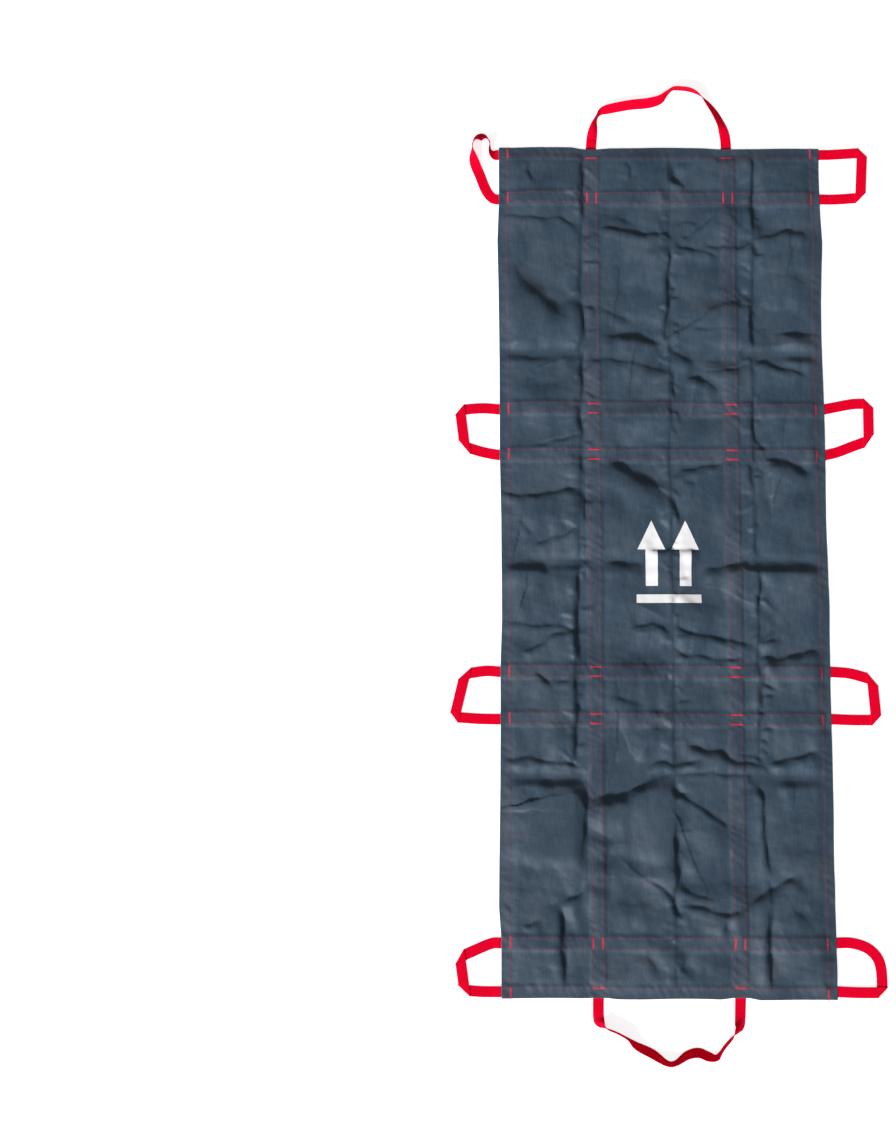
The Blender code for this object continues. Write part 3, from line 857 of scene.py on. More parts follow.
# %% Coated cloth: weave, crumples and gloss
THREADS_PER_METRE = 1500.0
warp, weft = [math_node(tree, "SINE",
                        math_node(tree, "MULTIPLY", way, THREADS_PER_METRE * math.pi))
              for way in across_and_along(tree, place)]
weave_normal = bump_node(tree, math_node(tree, "MULTIPLY", warp, weft), 0.35, 0.00012)
crumples = noise_node(tree, place, 90.0, 6.0, 0.68)
tree.links.new(bump_node(tree, crumples, 0.8, 0.0013, weave_normal), shader.inputs["Normal"])
tree.links.new(ramp_node(tree, patches, [(0.3, (0.5, 0.5, 0.5)), (0.7, (0.62, 0.62, 0.62))]),
               shader.inputs["Roughness"])
shader.inputs["Specular IOR Level"].default_value = 0.3
print("cloth finish has", len(tree.nodes), "nodes")


# %% Webbing and thread
def woven_red(name, bright, rib_shade, ribs_per_metre, depth):
    """A red woven finish with ribs across its length, which runs along the UV map's V, with painted
    shade where the ribs are low.
    """
    made, tree, shader = node_material(name)
    place = flat_place(tree)
    across, along = across_and_along(tree, place)
    zigzag = math_node(tree, "ABSOLUTE", math_node(
        tree, "SINE", math_node(tree, "MULTIPLY", across, 1000.0)))
    turns = math_node(tree, "MULTIPLY", along, ribs_per_metre * 2.0 * math.pi)
    rib = math_node(tree, "SINE", math_node(
        tree, "ADD", turns, math_node(tree, "MULTIPLY", zigzag, 1.1)))
    rib_level = math_node(tree, "MULTIPLY_ADD", rib, 0.5, 0.5)
    cloudy = noise_node(tree, place, 420.0, 3.0)
    level = math_node(tree, "ADD", math_node(tree, "MULTIPLY", rib_level, 0.7),
                      math_node(tree, "MULTIPLY", cloudy, 0.4))
    # The colour is darker where the ribs are low, which is painted shade between the ribs, and the
    # noise adds random tone.
    colour = ramp_node(tree, level, [(0.12, rib_shade), (0.5, bright), (0.95, bright)])
    tree.links.new(colour, shader.inputs["Base Color"])
    tree.links.new(bump_node(tree, level, 0.6, depth), shader.inputs["Normal"])
    shader.inputs["Roughness"].default_value = 0.85
    shader.inputs["Specular IOR Level"].default_value = 0.04
    shader.inputs["Subsurface Weight"].default_value = 0.5
    shader.inputs["Subsurface Radius"].default_value = (0.004, 0.001, 0.001)
    shader.inputs["Subsurface Scale"].default_value = 1.0
    return made


# The second colour of each finish is the painted shade in the hollows between its ribs.
web_finish = woven_red("red_webbing_weave", (0.97, 0.0, 0.03), (0.7, 0.0, 0.014), 620.0, 0.0003)
thread_finish = woven_red("red_row_thread", (0.50, 0.02, 0.045), (0.36, 0.012, 0.03),
                          900.0, 0.0002)
tack_finish = woven_red("red_tack_thread", (0.95, 0.05, 0.085), (0.75, 0.02, 0.045),
                        900.0, 0.0002)
print("finishes", web_finish.name, thread_finish.name, tack_finish.name)

# %% [markdown]
# ## Cloth
#
# The real sheet is one piece of cloth. It folds along two lines down its length and three
# lines across, so it is made here as pieces that each take in one fold: three down the
# middle and one for each side of each row. Each starts as a fine flat grid that gets its
# thickness, and then every point is raised to the lie of the cloth at its place. The hem,
# turned under and sewn, is a second thickness along the outer edges.

# %% Turning a bmesh into a piece
def finished(name, shape, finish, flat_of, smooth_angle=35.0):
    """A piece from a bmesh in millimetres. flat_of gives the UV map from its flat points."""
    mesh = bpy.data.meshes.new(name)
    layer = shape.loops.layers.uv.new("flat")
    for face in shape.faces:
        face.smooth = True
        for loop in face.loops:
            loop[layer].uv = flat_of[loop.vert.index]
    shape.to_mesh(mesh)
    shape.free()
    mesh.transform(Matrix.Scale(MM, 4))
    mesh.materials.append(finish)
    mesh.set_sharp_from_angle(angle=math.radians(smooth_angle))
    piece = bpy.data.objects.new(name, mesh)
    bpy.context.scene.collection.objects.link(piece)
    return piece


def flat_grid(x_low, x_high, y_low, y_high, x_cells, y_cells, thickness):
    """A flat plate of grid cells with its upper face at 0."""
    shape = bmesh.new()
    bmesh.ops.create_grid(shape, x_segments=x_cells, y_segments=y_cells, size=0.5)
    bmesh.ops.scale(shape, vec=(x_high - x_low, y_high - y_low, 1.0), verts=shape.verts)
    centre = Vector(((x_low + x_high) / 2.0, (y_low + y_high) / 2.0, 0.0))
    bmesh.ops.translate(shape, vec=centre, verts=shape.verts)
    bmesh.ops.solidify(shape, geom=shape.faces[:], thickness=thickness)
    bmesh.ops.recalc_face_normals(shape, faces=shape.faces[:])
    top = max(v.co.z for v in shape.verts)
    bmesh.ops.translate(shape, vec=(0.0, 0.0, -top), verts=shape.verts)
    shape.verts.index_update()
    return shape


def points_of(shape):
    """A bmesh's vertex places as an array, which whole-array functions can work on."""
    return np.array([v.co for v in shape.verts], float)


def move_points(shape, points):
    """Puts a bmesh's vertices at the places in an array."""
    for vert, point in zip(shape.verts, points):
        vert.co = point


def flat_uv(points):
    """The UV map of flat points: their own place, in metres."""
    return [Vector(p[:2]) * MM for p in points]


print("cloth will be", CLOTH, "mm thick")

# %% Where the cloth is divided
CELL = 3.125              # of the grids, in both directions
SIDE_CREASE_HALF = 6.0
MIDDLE_HALF = SIDE_FOLD - SIDE_CREASE_HALF    # the middle pieces end where a side fold begins
MIDDLE_CELLS = round(2.0 * MIDDLE_HALF / CELL)
SIDE_CELLS = 66           # a little finer across a side piece, which holds the side fold
MIDDLE_CUT = CROSS_FOLD / 2.0     # the middle pieces meet halfway between two cross folds
ROWS = {"head": (CROSS_FOLD, HALF_LENGTH), "upper": (0.0, CROSS_FOLD),
        "lower": (-CROSS_FOLD, 0.0), "foot": (-HALF_LENGTH, -CROSS_FOLD)}
# Middle parts: where each lies along the sheet, and the rows on its two sides of the fold
PARTS = {"head_end": (MIDDLE_CUT, HALF_LENGTH, CROSS_FOLD, "upper", "head"),
         "centre": (-MIDDLE_CUT, MIDDLE_CUT, 0.0, "lower", "upper"),
         "foot_end": (-HALF_LENGTH, -MIDDLE_CUT, -CROSS_FOLD, "lower", "foot")}
print("cells across a middle piece", MIDDLE_CELLS)

# %% Draping flat points
EDGE_ROUNDING = 0.3
LOWEST = 0.15             # cloth never lies lower than this over the floor


def drape(points):
    """Flat cloth points raised to the lie of the cloth, with the hem's second layer."""
    x, y, below = points[:, 0], points[:, 1], points[:, 2]
    hem = np.maximum(band(inside_side(x), HEM_WIDTH - 1.0, HEM_WIDTH + 2.5),
                     band(inside_end(y), HEM_WIDTH - 1.0, HEM_WIDTH + 2.5))
    top = cloth_top(x, y)
    at_edge = np.minimum(inside_side(x), inside_end(y)) < 0.1
    rounded = np.where(at_edge, EDGE_ROUNDING, 0.0)
    under = below < -CLOTH / 2.0
    height = np.where(under, top - CLOTH - CLOTH * hem + rounded, top - rounded)
    new_x, new_y = bowed(x, y)
    return np.column_stack((new_x, new_y, np.maximum(height, LOWEST)))


def cloth_piece(name, x_span, y_span, x_cells):
    """One piece of the cloth, from a flat grid that is draped."""
    y_cells = round((y_span[1] - y_span[0]) / CELL)
    shape = flat_grid(*x_span, *y_span, x_cells, y_cells, CLOTH)
    flat = points_of(shape)
    move_points(shape, drape(flat))
    return finished(name, shape, cloth_finish, flat_uv(flat), 50.0)


def fold_across(piece):
    """The piece's transform is baked into its mesh."""
    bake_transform(piece)


def fold_side(piece, row, side):
    """The piece's transform is baked into its mesh; its row and side are not used."""
    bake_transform(piece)


# %% Cloth pieces
cloths = {}
for part, (y_low, y_high, _, near_row, far_row) in PARTS.items():
    piece = cloth_piece(f"{part}_cloth", (-MIDDLE_HALF, MIDDLE_HALF), (y_low, y_high),
                        MIDDLE_CELLS)
    cloths[part] = (piece, (2.0 * MIDDLE_HALF * MM, (y_high - y_low) * MM))
    fold_across(piece)
    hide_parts(f"{near_row}_middle_panel", f"{far_row}_middle_panel")
for row, y_span in ROWS.items():
    for side, x_span in (("left", (-HALF_WIDTH, -MIDDLE_HALF)),
                         ("right", (MIDDLE_HALF, HALF_WIDTH))):
        piece = cloth_piece(f"{row}_{side}_cloth", x_span, y_span, SIDE_CELLS)
        cloths[row, side] = (piece, ((HALF_WIDTH - MIDDLE_HALF) * MM, CROSS_FOLD * MM))
        fold_side(piece, row, side)
        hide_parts(f"{row}_{side}_panel")
print("cloth pieces", len(cloths))

# %% [markdown]
# ## Webbing
#
# Flat webbing is made flat, with slightly rounded edges, and then wrapped along its route.
# A route is a list of sections, each with a middle point, half the webbing's width as an
# arrow across it, and an arrow out of its face. Between two sections the strap turns as
# real webbing does. Where a handle is folded on the diagonal, the arrow across lies along
# the crease while the strap rolls over it, so the strap comes out in its new direction one
# layer higher or lower.

# %% Wrapping flat webbing along a route
ROW_PITCH = 10.0          # of the flat strap's rows, before they are wrapped
WEB_CELLS = 8
RIM_BEVEL = 0.5
LOWEST_WEB = 0.05         # webbing never lies lower than this over the floor


def wrap(name, sections, finish, relief=False):
    """A strap through its sections, each (middle, across, normal, half thickness)."""
    count = len(sections) - 1
    half = WEB_WIDTH / 2.0
    shape = flat_grid(-half, half, 0.0, count * ROW_PITCH, WEB_CELLS, count, WEB)
    rims = [e for e in shape.edges
            if all(abs(abs(v.co.x) - half) < 0.01 for v in e.verts)
            and abs(e.verts[0].co.z - e.verts[1].co.z) < 0.01]
    bmesh.ops.bevel(shape, geom=rims, offset=RIM_BEVEL, segments=2, profile=0.5,
                    affect="EDGES", material=-1)
    shape.verts.index_update()
    flat = points_of(shape)
    middles, acrosses, normals, halves = [np.array([s[i] for s in sections], float)
                                          for i in range(4)]
    position = np.clip(flat[:, 1] / ROW_PITCH, 0.0, count)
    below = np.minimum(position.astype(int), count - 1)
    share = (position - below)[:, None]

    def between(values):
        return values[below] * (1.0 - share) + values[below + 1] * share

    side = (flat[:, 0] / half)[:, None]
    out = ((flat[:, 2] + WEB / 2.0) / (WEB / 2.0))[:, None]
    thick = between(halves[:, None])
    points = between(middles) + between(acrosses) * side + between(normals) * out * thick
    if relief:
        points[:, 2] += lift_under(points[:, 0], points[:, 1])
        points[:, 2] = np.maximum(points[:, 2], LOWEST_WEB)
        points[:, 0], points[:, 1] = bowed(points[:, 0], points[:, 1])
    steps = np.linalg.norm(np.diff(middles, axis=0), axis=1)
    gone = np.concatenate(([0.0], np.cumsum(steps)))
    forward = np.gradient(middles, axis=0)
    forward /= np.maximum(np.linalg.norm(forward, axis=1), 1e-6)[:, None]
    skew = np.einsum("ij,ij->i", acrosses, forward)
    along = (between(gone[:, None]) + between(skew[:, None]) * side)[:, 0]
    move_points(shape, points)
    return finished(name, shape, finish, flat_uv(zip(flat[:, 0], along)), 40.0)


print("webbing has", WEB_CELLS, "cells across its", WEB_WIDTH, "mm")

# %% Straps along the sheet
STEP = 6.0                # between sections


def strap_level(y):
    """A long strap's middle height in the flat model. It dips under each cross run."""
    level = RUN_UNDER_SHEET
    for run in RUN_Y:
        low = RUN_UNDER_HEM if abs(run) > HALF_LENGTH - WEB_WIDTH else RUN_UNDER_SHEET
        dip = band(abs(y - run), WEB_WIDTH / 2.0 + STEP_MARGIN,
                   WEB_WIDTH / 2.0 + STEP_MARGIN + RAMP)
        level = min(level, level + (low - LAYER_STEP - level) * float(dip))
    return level


def along_steps(low, high):
    """Places about STEP apart from low to high."""
    count = max(2, round((high - low) / STEP))
    return [low + (high - low) * i / count for i in range(count + 1)]


straps = 0
for side, x in (("left", -STRAP_X), ("right", STRAP_X)):
    for part, (y_low, y_high, _, near_row, far_row) in PARTS.items():
        y_low = max(y_low, -HALF_LENGTH + EDGE_INSET)
        y_high = min(y_high, HALF_LENGTH - EDGE_INSET)
        sections = [(Vector((x, y, strap_level(y))), Vector((-WEB_WIDTH / 2.0, 0.0, 0.0)), UP,
                     WEB / 2.0) for y in along_steps(y_low, y_high)]
        piece = wrap(f"{side}_{part}_strap", sections, web_finish, relief=True)
        fold_across(piece)
        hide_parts(f"{near_row}_{side}_long_strap", f"{far_row}_{side}_long_strap")
        straps += 1
print("long strap pieces", straps)


# %% Straps across the sheet
def run_level(x, y):
    """A cross run's middle height in the flat model. It dips where it goes under the hem."""
    if abs(y) > HALF_LENGTH - WEB_WIDTH:
        return RUN_UNDER_HEM
    hem_edge = HALF_WIDTH - HEM_WIDTH - STEP_MARGIN
    dip = float(band(hem_edge - abs(x), 0.0, RAMP)) if abs(x) < hem_edge else 1.0
    return RUN_UNDER_SHEET + (RUN_UNDER_HEM - RUN_UNDER_SHEET) * dip


RUN_COLUMNS = {"left": (-HALF_WIDTH + EDGE_INSET, -MIDDLE_HALF),
               "middle": (-MIDDLE_HALF, MIDDLE_HALF),
               "right": (MIDDLE_HALF, HALF_WIDTH - EDGE_INSET)}
runs_made = 0
for number, y in enumerate(RUN_Y):
    station = number // 2
    row = list(ROWS)[station]
    letter = "ab"[number % 2]
    for column, (x_low, x_high) in RUN_COLUMNS.items():
        sections = [(Vector((x, y, run_level(x, y))), Vector((0.0, WEB_WIDTH / 2.0, 0.0)), UP,
                     WEB / 2.0) for x in along_steps(x_low, x_high)]
        piece = wrap(f"run_{station + 1}{letter}_{column}", sections, web_finish, relief=True)
        if column == "middle":
            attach(piece, row)
        else:
            fold_side(piece, row, column)
        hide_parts(f"cross_run_{station + 1}{letter}_{column}")
        runs_made += 1
print("cross run pieces", runs_made)

# %% [markdown]
# ## Handles
#
# Each side handle is the free loop between two cross runs, and the head and foot handles
# join the two long straps. Their routes are the CAD model's own: (out, along, turn) from the
# sheet's edge for a side handle, and (across, out, turn) for an end one. Where turn is a
# number of degrees, the strap is rolled: 90 stands on its edge and 180 is turned over. Where
# it is "over" or "under", the strap is folded flat on the diagonal. The head handle's right
# leg comes down turned over, as the photograph shows, where the CAD model turns it back.

# %% Handle routes
SIDE_LOOPS = {
    ("right", 0): [(0, LEG, 0), (40, 57, 0), (104.4, 61, "over"), (98, -50, "under"),
                   (45, -54, 0), (0, -LEG, 0)],
    ("right", 1): [(0, LEG, 0), (34, 62, 0), (68, 68, 0), (103.6, 69, "over"),
                   (103, -20, "under"), (64, -34, 0), (30, -47, 0), (0, -LEG, 0)],
    ("right", 2): [(0, LEG, 0), (46, 51, 0), (97, 37, "over"), (104.2, -57, "under"),
                   (50, -57, 0), (0, -LEG, 0)],
    ("right", 3): [(0, LEG, 0), (36, 54, 0), (70, 43, 0), (92, 22, 0), (101, -6, 0),
                   (102.5, -57, "over"), (50, -57, 0), (0, -LEG, 0)],
    ("left", 0): [(0, LEG, 0), (7, 55.3, 0), (14, 58, 28), (20, 66, 70), (21, 81, 88),
                  (27, 92, 70), (38, 98, 30), (50, 96, 40), (60, 86, 80), (64, 70, 88),
                  (62, 50, 50), (55, 29, 12), (45, 6, 0), (36, -18, 0), (27, -37, 0),
                  (16, -50, 0), (8, -54, 0), (0, -LEG, 0)],
    ("left", 1): [(0, LEG, 0), (40, 58, 0), (93, 54, "over"), (82, -34, "under"),
                  (40, -47, 0), (0, -LEG, 0)],
    ("left", 2): [(0, LEG, 0), (34, 57, 0), (82, 50, "over"), (106.4, -50, "under"),
                  (50, -54, 0), (0, -LEG, 0)],
    ("left", 3): [(0, LEG, 0), (26, 52, 0), (94, 23, "over"), (84, -52, "under"),
                  (42, -55, 0), (0, -LEG, 0)],
}
END_LOOPS = {
    "head": [(-STRAP_X, 0, 0), (-161, 26, 0), (-157, 50, 35), (-150, 76, 80), (-140, 91, 70),
             (-118, 99, 48), (-69, 109, 42), (-26, 114, 35), (4, 122, 50), (21, 137, 78),
             (36, 148.5, 90), (57, 148.6, 90), (78, 145, 92), (99, 134, 105), (118, 114, 128),
             (136, 90, 142), (151, 62, 152), (159, 40, 176), (162, 22, 180), (STRAP_X, 0, 180)],
    "foot": [(-STRAP_X, 0, 0), (-163, 42, 0), (-159, 57, 35), (-147, 67, 82), (-122, 77, 90),
             (-98, 90, 95), (-78, 106, 125), (-42, 124, 140), (-8, 144.7, 112), (12, 143.7, 105),
             (38, 127, 125), (64, 122, 142), (86, 130, 140), (104, 132, 110), (114, 121, 92),
             (124, 107, 90), (141, 88, 85), (153, 73, 50), (160, 57, 12), (STRAP_X, 0, 0)],
}
print("handles", len(SIDE_LOOPS) + len(END_LOOPS))

# %% From a route to sections
ROUTE_STEP = 3.0
FOLD_FACETS = 10
END_FACETS = 4
FOLD_CLEARANCE = 2.0      # a strap lies straight from this far outside its crease


def smooth_route(points):
    """Points about ROUTE_STEP apart on a Catmull-Rom curve through the given ones."""
    if len(points) < 3:
        start, end = Vector(points[0]), Vector(points[1])
        count = max(1, round((end - start).xy.length / ROUTE_STEP))
        return [start.lerp(end, i / count) for i in range(count + 1)]
    padded = [2.0 * Vector(points[0]) - Vector(points[1])]
    padded += [Vector(p) for p in points]
    padded.append(2.0 * Vector(points[-1]) - Vector(points[-2]))
    route = []
    for a, b, c, d in zip(padded, padded[1:], padded[2:], padded[3:]):
        count = max(1, round((c - b).xy.length / ROUTE_STEP))
        for step in range(count):
            t = step / count
            route.append(0.5 * (2.0 * b + (c - a) * t + (2.0 * a - 5.0 * b + 4.0 * c - d) * t * t
                                + (3.0 * b - a - 3.0 * c + d) * t ** 3))
    route.append(padded[-2])
    return route


def outward(point):
    """The way out of the sheet at a point just outside its edge."""
    if abs(point.x) > HALF_WIDTH:
        return Vector((math.copysign(1.0, point.x), 0.0, 0.0))
    return Vector((0.0, math.copysign(1.0, point.y), 0.0))


def straight_section(point, tangent, lift_up, facing):
    """A section of a strap that lies on the floor, or stands on its lower edge when rolled."""
    roll = math.radians(point.z)
    height = WEB_WIDTH / 2.0 * abs(math.sin(roll)) + WEB / 2.0 * abs(math.cos(roll))
    side = UP.cross(tangent)
    across = (side * math.cos(roll) + UP * math.sin(roll)) * facing
    normal = (UP * math.cos(roll) - side * math.sin(roll)) * facing
    return (Vector((point.x, point.y, height + lift_up)), across * WEB_WIDTH / 2.0, normal,
            WEB / 2.0)


def fold_sections(corner, arriving, leaving, rise, facing):
    """The half turn of a strap over its diagonal crease."""
    wrap_radius = (WEB + FOLD_LAYER_GAP) / 2.0
    crease = (arriving + leaving).normalized()
    reach = WEB_WIDTH / 2.0 / arriving.cross(crease).length
    outer = (arriving - crease * arriving.dot(crease)).normalized()
    across = crease * math.copysign(reach, crease.dot(UP.cross(arriving) * facing))
    made = []
    for step in range(FOLD_FACETS + 1):
        angle = math.pi * step / FOLD_FACETS
        middle = (corner + outer * wrap_radius * math.sin(angle)
                  + UP * rise * wrap_radius * (1.0 - math.cos(angle)))
        inward = -outer * math.sin(angle) + UP * rise * math.cos(angle)
        made.append((middle, across, inward * rise * facing, WEB / 2.0))
    return made


def loop_sections(route, exit_height):
    """A handle's sections along its route of (x, y, turn) points."""
    runs = [[]]
    for x, y, turn in route:
        folded = isinstance(turn, str)
        runs[-1].append((x, y, 0.0 if folded else turn))
        if folded:
            runs.append([(x, y, 0.0)])
    folds = [turn for _, _, turn in route if isinstance(turn, str)]
    clear = []
    for before, after in zip(runs, runs[1:]):
        arriving = Vector(before[-1]).xy - Vector(before[-2]).xy
        leaving = Vector(after[1]).xy - Vector(after[0]).xy
        clear.append(WEB_WIDTH / 2.0 / math.tan(arriving.angle(leaving) / 2.0) + FOLD_CLEARANCE)
    sections = []
    layer = 0.0
    facing = 1.0
    last = len(runs) - 1
    for number, run in enumerate(runs):
        points = smooth_route(run)
        lengths = [(b - a).xy.length for a, b in zip(points, points[1:])]
        total = sum(lengths)
        tangents = [(b - a).xy.to_3d().normalized()
                    for a, b in zip([points[0]] + points[:-1], points[1:] + [points[-1]])]
        if number == 0:
            tangents[0] = outward(points[0])
        if number == last:
            tangents[-1] = -outward(points[-1])
        gone = 0.0
        for i, point in enumerate(points):
            gone += lengths[i - 1] if i else 0.0
            if number > 0 and gone < clear[number - 1]:
                continue
            if number < last and total - gone < clear[number]:
                continue
            from_sheet = gone if number == 0 else LEVEL_OUT + 2.0 * RAMP
            if number == last:
                from_sheet = min(from_sheet, total - gone)
            near_sheet = 1.0 - min(1.0, max(0.0, (from_sheet - LEVEL_OUT) / (2.0 * RAMP)))
            lift_up = (exit_height - WEB / 2.0) * near_sheet + layer * (1.0 - near_sheet)
            sections.append(straight_section(point, tangents[i], lift_up, facing))
        if number < last:
            corner = Vector((run[-1][0], run[-1][1], WEB / 2.0 + layer))
            leaving = (Vector(runs[number + 1][1]) - Vector(run[-1])).xy.to_3d().normalized()
            rise = 1.0 if folds[number] == "over" else -1.0
            sections += fold_sections(corner, tangents[-1], leaving, rise, facing)
            layer += rise * (WEB + FOLD_LAYER_GAP)
            facing = -facing
    return sections


def rounded_ends(sections):
    """The sections with a half-round nose at each end, where the strap meets the sheet."""
    noses = []
    for section in (sections[0], sections[-1]):
        middle, across, normal, half = section
        away = -outward(middle)
        nose = []
        for step in range(1, END_FACETS + 1):
            angle = math.radians(90.0 * (1.0 - step / (END_FACETS + 0.5)))
            nose.append((middle + away * half * math.cos(angle), across, normal,
                         half * math.sin(angle)))
        noses.append(nose)
    return noses[0][::-1] + sections + noses[1]


# %% Handles
def handle(name, route, exit_height):
    """One loop handle, which rides on its own body."""
    sections = rounded_ends(loop_sections(route, exit_height))
    piece = wrap(f"{name}_loop", sections, web_finish)
    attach(piece, name)
    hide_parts(name)


for (side, station), loop in SIDE_LOOPS.items():
    sign = -1.0 if side == "left" else 1.0
    route = [(sign * (HALF_WIDTH + PIVOT_OUTSET + out), STATION_Y[station] + along, turn)
             for out, along, turn in loop]
    handle(f"{side}_handle_{station + 1}", route, RUN_UNDER_HEM)
for end, loop in END_LOOPS.items():
    sign = 1.0 if end == "head" else -1.0
    route = [(across, sign * (HALF_LENGTH + PIVOT_OUTSET + out), turn)
             for across, out, turn in loop]
    handle(f"{end}_handle", route, RUN_UNDER_HEM - LAYER_STEP)
print("handles made", len(SIDE_LOOPS) + len(END_LOOPS))

# %% [markdown]
# ## Stitching
#
# The red thread that holds the webbing and the hem shows on top as rows of short stitches,
# and where the load comes in as bar tacks, which are short dense rows of slanting thread.
# One stitch is a six-sided rod with pressed-down ends. It is laid again and again on the
# flat cloth, and then the whole seam is raised to the cloth, as the grids were.

# %% One stitch
STITCH_LENGTH = 3.6
STITCH_PITCH = 4.8
STITCH_WIDTH = 0.95
STITCH_HEIGHT = 0.7
PRESSED = 0.5             # a stitch's ends are this share as high, and lie low,
DRAWN_IN = 0.6            # and this share as wide
stitch_shape = bmesh.new()
bmesh.ops.create_cone(stitch_shape, cap_ends=True, segments=6, radius1=0.5, radius2=0.5,
                      depth=1.0, matrix=Matrix.Rotation(math.radians(90.0), 4, "X"))
middle_edges = [e for e in stitch_shape.edges if abs(e.verts[0].co.y - e.verts[1].co.y) > 0.5]
bmesh.ops.subdivide_edges(stitch_shape, edges=middle_edges, cuts=1)
for vert in stitch_shape.verts:
    if abs(vert.co.y) > 0.4:
        vert.co.x *= DRAWN_IN
        vert.co.z = vert.co.z * PRESSED - 0.25
stitch_mesh = bpy.data.meshes.new("one_stitch")
stitch_shape.to_mesh(stitch_mesh)
stitch_shape.free()
print("one stitch has", len(stitch_mesh.polygons), "faces")


# %% Where the seams run
def row_of(start, end):
    """Stitches along a line: each is (x, y, turn, length, width)."""
    start, end = Vector(start), Vector(end)
    turn = math.atan2(end.y - start.y, end.x - start.x) - math.pi / 2.0
    count = int((end - start).length / STITCH_PITCH)
    return [(*start.lerp(end, (i + 0.5) / count), turn, STITCH_LENGTH, STITCH_WIDTH)
            for i in range(count)]


TACK_LENGTH = 26.0
TACK_WIDTH = 4.4
TACK_THREAD = 1.7
TACK_THREADS = 18
TACK_SLANTS = (math.radians(34.0), math.radians(24.0))    # of every other thread


def tack(x, y, along_y):
    """A bar tack: slanting threads side by side, along Y or along X."""
    made = []
    for i in range(TACK_THREADS):
        along = TACK_LENGTH * ((i + 0.5) / TACK_THREADS - 0.5)
        slant = TACK_SLANTS[i % 2]
        if along_y:
            made.append((x, y + along, slant + math.pi / 2.0, TACK_WIDTH, TACK_THREAD))
        else:
            made.append((x + along, y, slant, TACK_WIDTH, TACK_THREAD))
    return made


HEM_ROW_END = 3.0         # a hem's row ends this far inside the sheet's edge
stitches = []
for x in (-STRAP_X, STRAP_X):
    for out in (-ROW_OUT, ROW_OUT):
        stitches += row_of((x + out, -END_HEM_ROW), (x + out, END_HEM_ROW))
for y in RUN_Y:
    for out in (-ROW_OUT, ROW_OUT):
        if abs(y + out) < END_HEM_ROW - 2.0:
            stitches += row_of((-SIDE_HEM_ROW, y + out), (SIDE_HEM_ROW, y + out))
for x in (-SIDE_HEM_ROW, SIDE_HEM_ROW):
    stitches += row_of((x, -HALF_LENGTH + HEM_ROW_END), (x, HALF_LENGTH - HEM_ROW_END))
for y in (-END_HEM_ROW, END_HEM_ROW):
    stitches += row_of((-HALF_WIDTH + HEM_ROW_END, y), (HALF_WIDTH - HEM_ROW_END, y))
tacks = []
for y in RUN_Y:
    for x in (-SIDE_HEM_ROW, SIDE_HEM_ROW):
        tacks += tack(x, y, True)
for x in (-STRAP_X, STRAP_X):
    for y in RUN_Y[2:6]:
        tacks += tack(x, y - ROW_OUT, False) + tack(x, y + ROW_OUT, False)
    for y in (RUN_Y[1], RUN_Y[6]):
        tacks += tack(x - ROW_OUT, y, True) + tack(x + ROW_OUT, y, True)
    for y in (-END_HEM_ROW, END_HEM_ROW):
        tacks += tack(x, y, False)
print("stitches", len(stitches), "tack threads", len(tacks))


# %% Seams on each piece of cloth
def seam_owner(x, y):
    """The cloth piece that a stitch at this place is sewn through."""
    if abs(x) < MIDDLE_HALF:
        return "head_end" if y > MIDDLE_CUT else "foot_end" if y < -MIDDLE_CUT else "centre"
    row = next(name for name, (low, high) in ROWS.items() if low <= y <= high)
    return row, "left" if x < 0.0 else "right"


def sewn_on(owner, sewn, kind, finish, clear):
    """All the stitches of one kind on one piece of cloth."""
    shape = bmesh.new()
    for x, y, turn, length, width in sewn:
        place = (Matrix.Translation((x, y, 0.0)) @ Matrix.Rotation(turn, 4, "Z")
                 @ Matrix.Diagonal((width, length, STITCH_HEIGHT, 1.0)))
        stitch_mesh.transform(place)
        shape.from_mesh(stitch_mesh)
        stitch_mesh.transform(place.inverted())
    shape.verts.index_update()
    flat = points_of(shape)
    raised = flat.copy()
    raised[:, 2] += cloth_top(flat[:, 0], flat[:, 1]) + clear
    raised[:, 0], raised[:, 1] = bowed(flat[:, 0], flat[:, 1])
    move_points(shape, raised)
    label = owner if isinstance(owner, str) else "_".join(owner)
    piece = finished(f"{label}_{kind}", shape, finish, flat_uv(flat), 60.0)
    if isinstance(owner, str):
        fold_across(piece)
    else:
        fold_side(piece, *owner)
    return piece


seams = {}
for owner in cloths:
    for kind, threads, finish, clear in (("seams", stitches, thread_finish, 0.1),
                                         ("bar_tacks", tacks, tack_finish, 0.35)):
        sewn = [stitch for stitch in threads if seam_owner(stitch[0], stitch[1]) == owner]
        if sewn:
            seams.setdefault(owner, []).append(sewn_on(owner, sewn, kind, finish, clear))
print("seam and tack pieces", sum(len(made) for made in seams.values()))

# %% [markdown]
# ## Print
#
# The middle of the sheet carries a white print that says which face goes up. Here it is
# the plain sign for that: two upright arrows over a bar. Each shape starts as a few points,
# is cut along lines three millimetres apart, so that it can follow the cloth, and is laid
# a quarter of a millimetre over it.

# %% White print
PRINT_MIDDLE = (10.0, 3.0)
ARROW_HALF_GAP = 40.0
ARROW_TOP = 96.0
ARROW_NECK = 28.0
ARROW_FOOT = -58.0
ARROW_HEAD_HALF = 33.0
ARROW_STEM_HALF = 14.0
BAR_TOP = -78.0
BAR_FOOT = -98.0
BAR_HALF = 76.0
PRINT_THICKNESS = 0.1
PRINT_CLEAR = 0.22        # over the cloth
PRINT_CELL = 3.0
CELLS_OUT = 36            # from the print's middle to past its edges
print_finish, tree, shader = node_material("white_print")
worn = ramp_node(tree, noise_node(tree, flat_place(tree), 160.0, 6.0, 0.7),
                 [(0.27, (0.55, 0.58, 0.62)), (0.36, (0.88, 0.88, 0.88))])
tree.links.new(worn, shader.inputs["Base Color"])
shader.inputs["Roughness"].default_value = 0.6
shader.inputs["Specular IOR Level"].default_value = 0.2
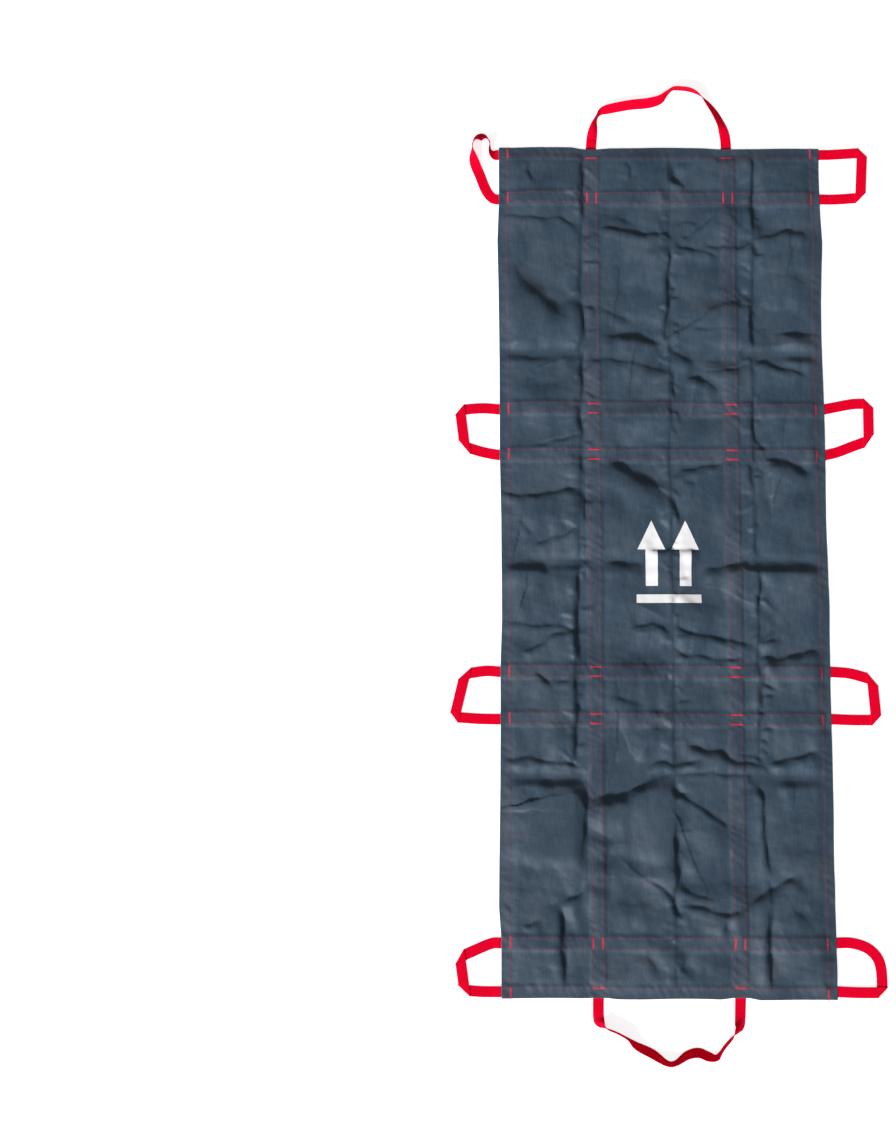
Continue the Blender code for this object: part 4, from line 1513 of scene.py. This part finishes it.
arrow = [(-ARROW_STEM_HALF, ARROW_FOOT), (ARROW_STEM_HALF, ARROW_FOOT),
         (ARROW_STEM_HALF, ARROW_NECK), (ARROW_HEAD_HALF, ARROW_NECK), (0.0, ARROW_TOP),
         (-ARROW_HEAD_HALF, ARROW_NECK), (-ARROW_STEM_HALF, ARROW_NECK)]
bar = [(-BAR_HALF, BAR_FOOT), (BAR_HALF, BAR_FOOT), (BAR_HALF, BAR_TOP), (-BAR_HALF, BAR_TOP)]
shape = bmesh.new()
for offset, outline in ((-ARROW_HALF_GAP, arrow), (ARROW_HALF_GAP, arrow), (0.0, bar)):
    shape.faces.new([shape.verts.new((PRINT_MIDDLE[0] + offset + x, PRINT_MIDDLE[1] + y, 0.0))
                     for x, y in outline])
for axis in (0, 1):
    normal = Vector((1.0 - axis, float(axis), 0.0))
    for k in range(-CELLS_OUT, CELLS_OUT + 1):
        cut = normal * (k * PRINT_CELL + PRINT_MIDDLE[axis])
        everything = shape.verts[:] + shape.edges[:] + shape.faces[:]
        bmesh.ops.bisect_plane(shape, geom=everything, plane_co=cut, plane_no=normal)
bmesh.ops.recalc_face_normals(shape, faces=shape.faces[:])
bmesh.ops.solidify(shape, geom=shape.faces[:], thickness=PRINT_THICKNESS)
shape.verts.index_update()
flat = points_of(shape)
raised = flat.copy()
raised[:, 2] += cloth_top(flat[:, 0], flat[:, 1]) + PRINT_CLEAR
move_points(shape, raised)
sign = finished("this_way_up_sign", shape, print_finish, flat_uv(flat))
fold_across(sign)
print("print has", len(sign.data.polygons), "faces")

# %% [markdown]
# ## Finish
#
# Each piece of cloth's seams are gathered in a list, with the print added for the centre
# piece. The CAD model's parts get the cloth or webbing finish, and the one stitch that the
# seams were copied from is removed.

for owner, (piece, size) in cloths.items():
    going_with = list(seams[owner])
    if owner == "centre":
        going_with.append(sign)
for name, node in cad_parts.items():
    node.data.materials.clear()
    node.data.materials.append(cloth_finish if name.endswith("_panel") else web_finish)
bpy.data.meshes.remove(stitch_mesh)
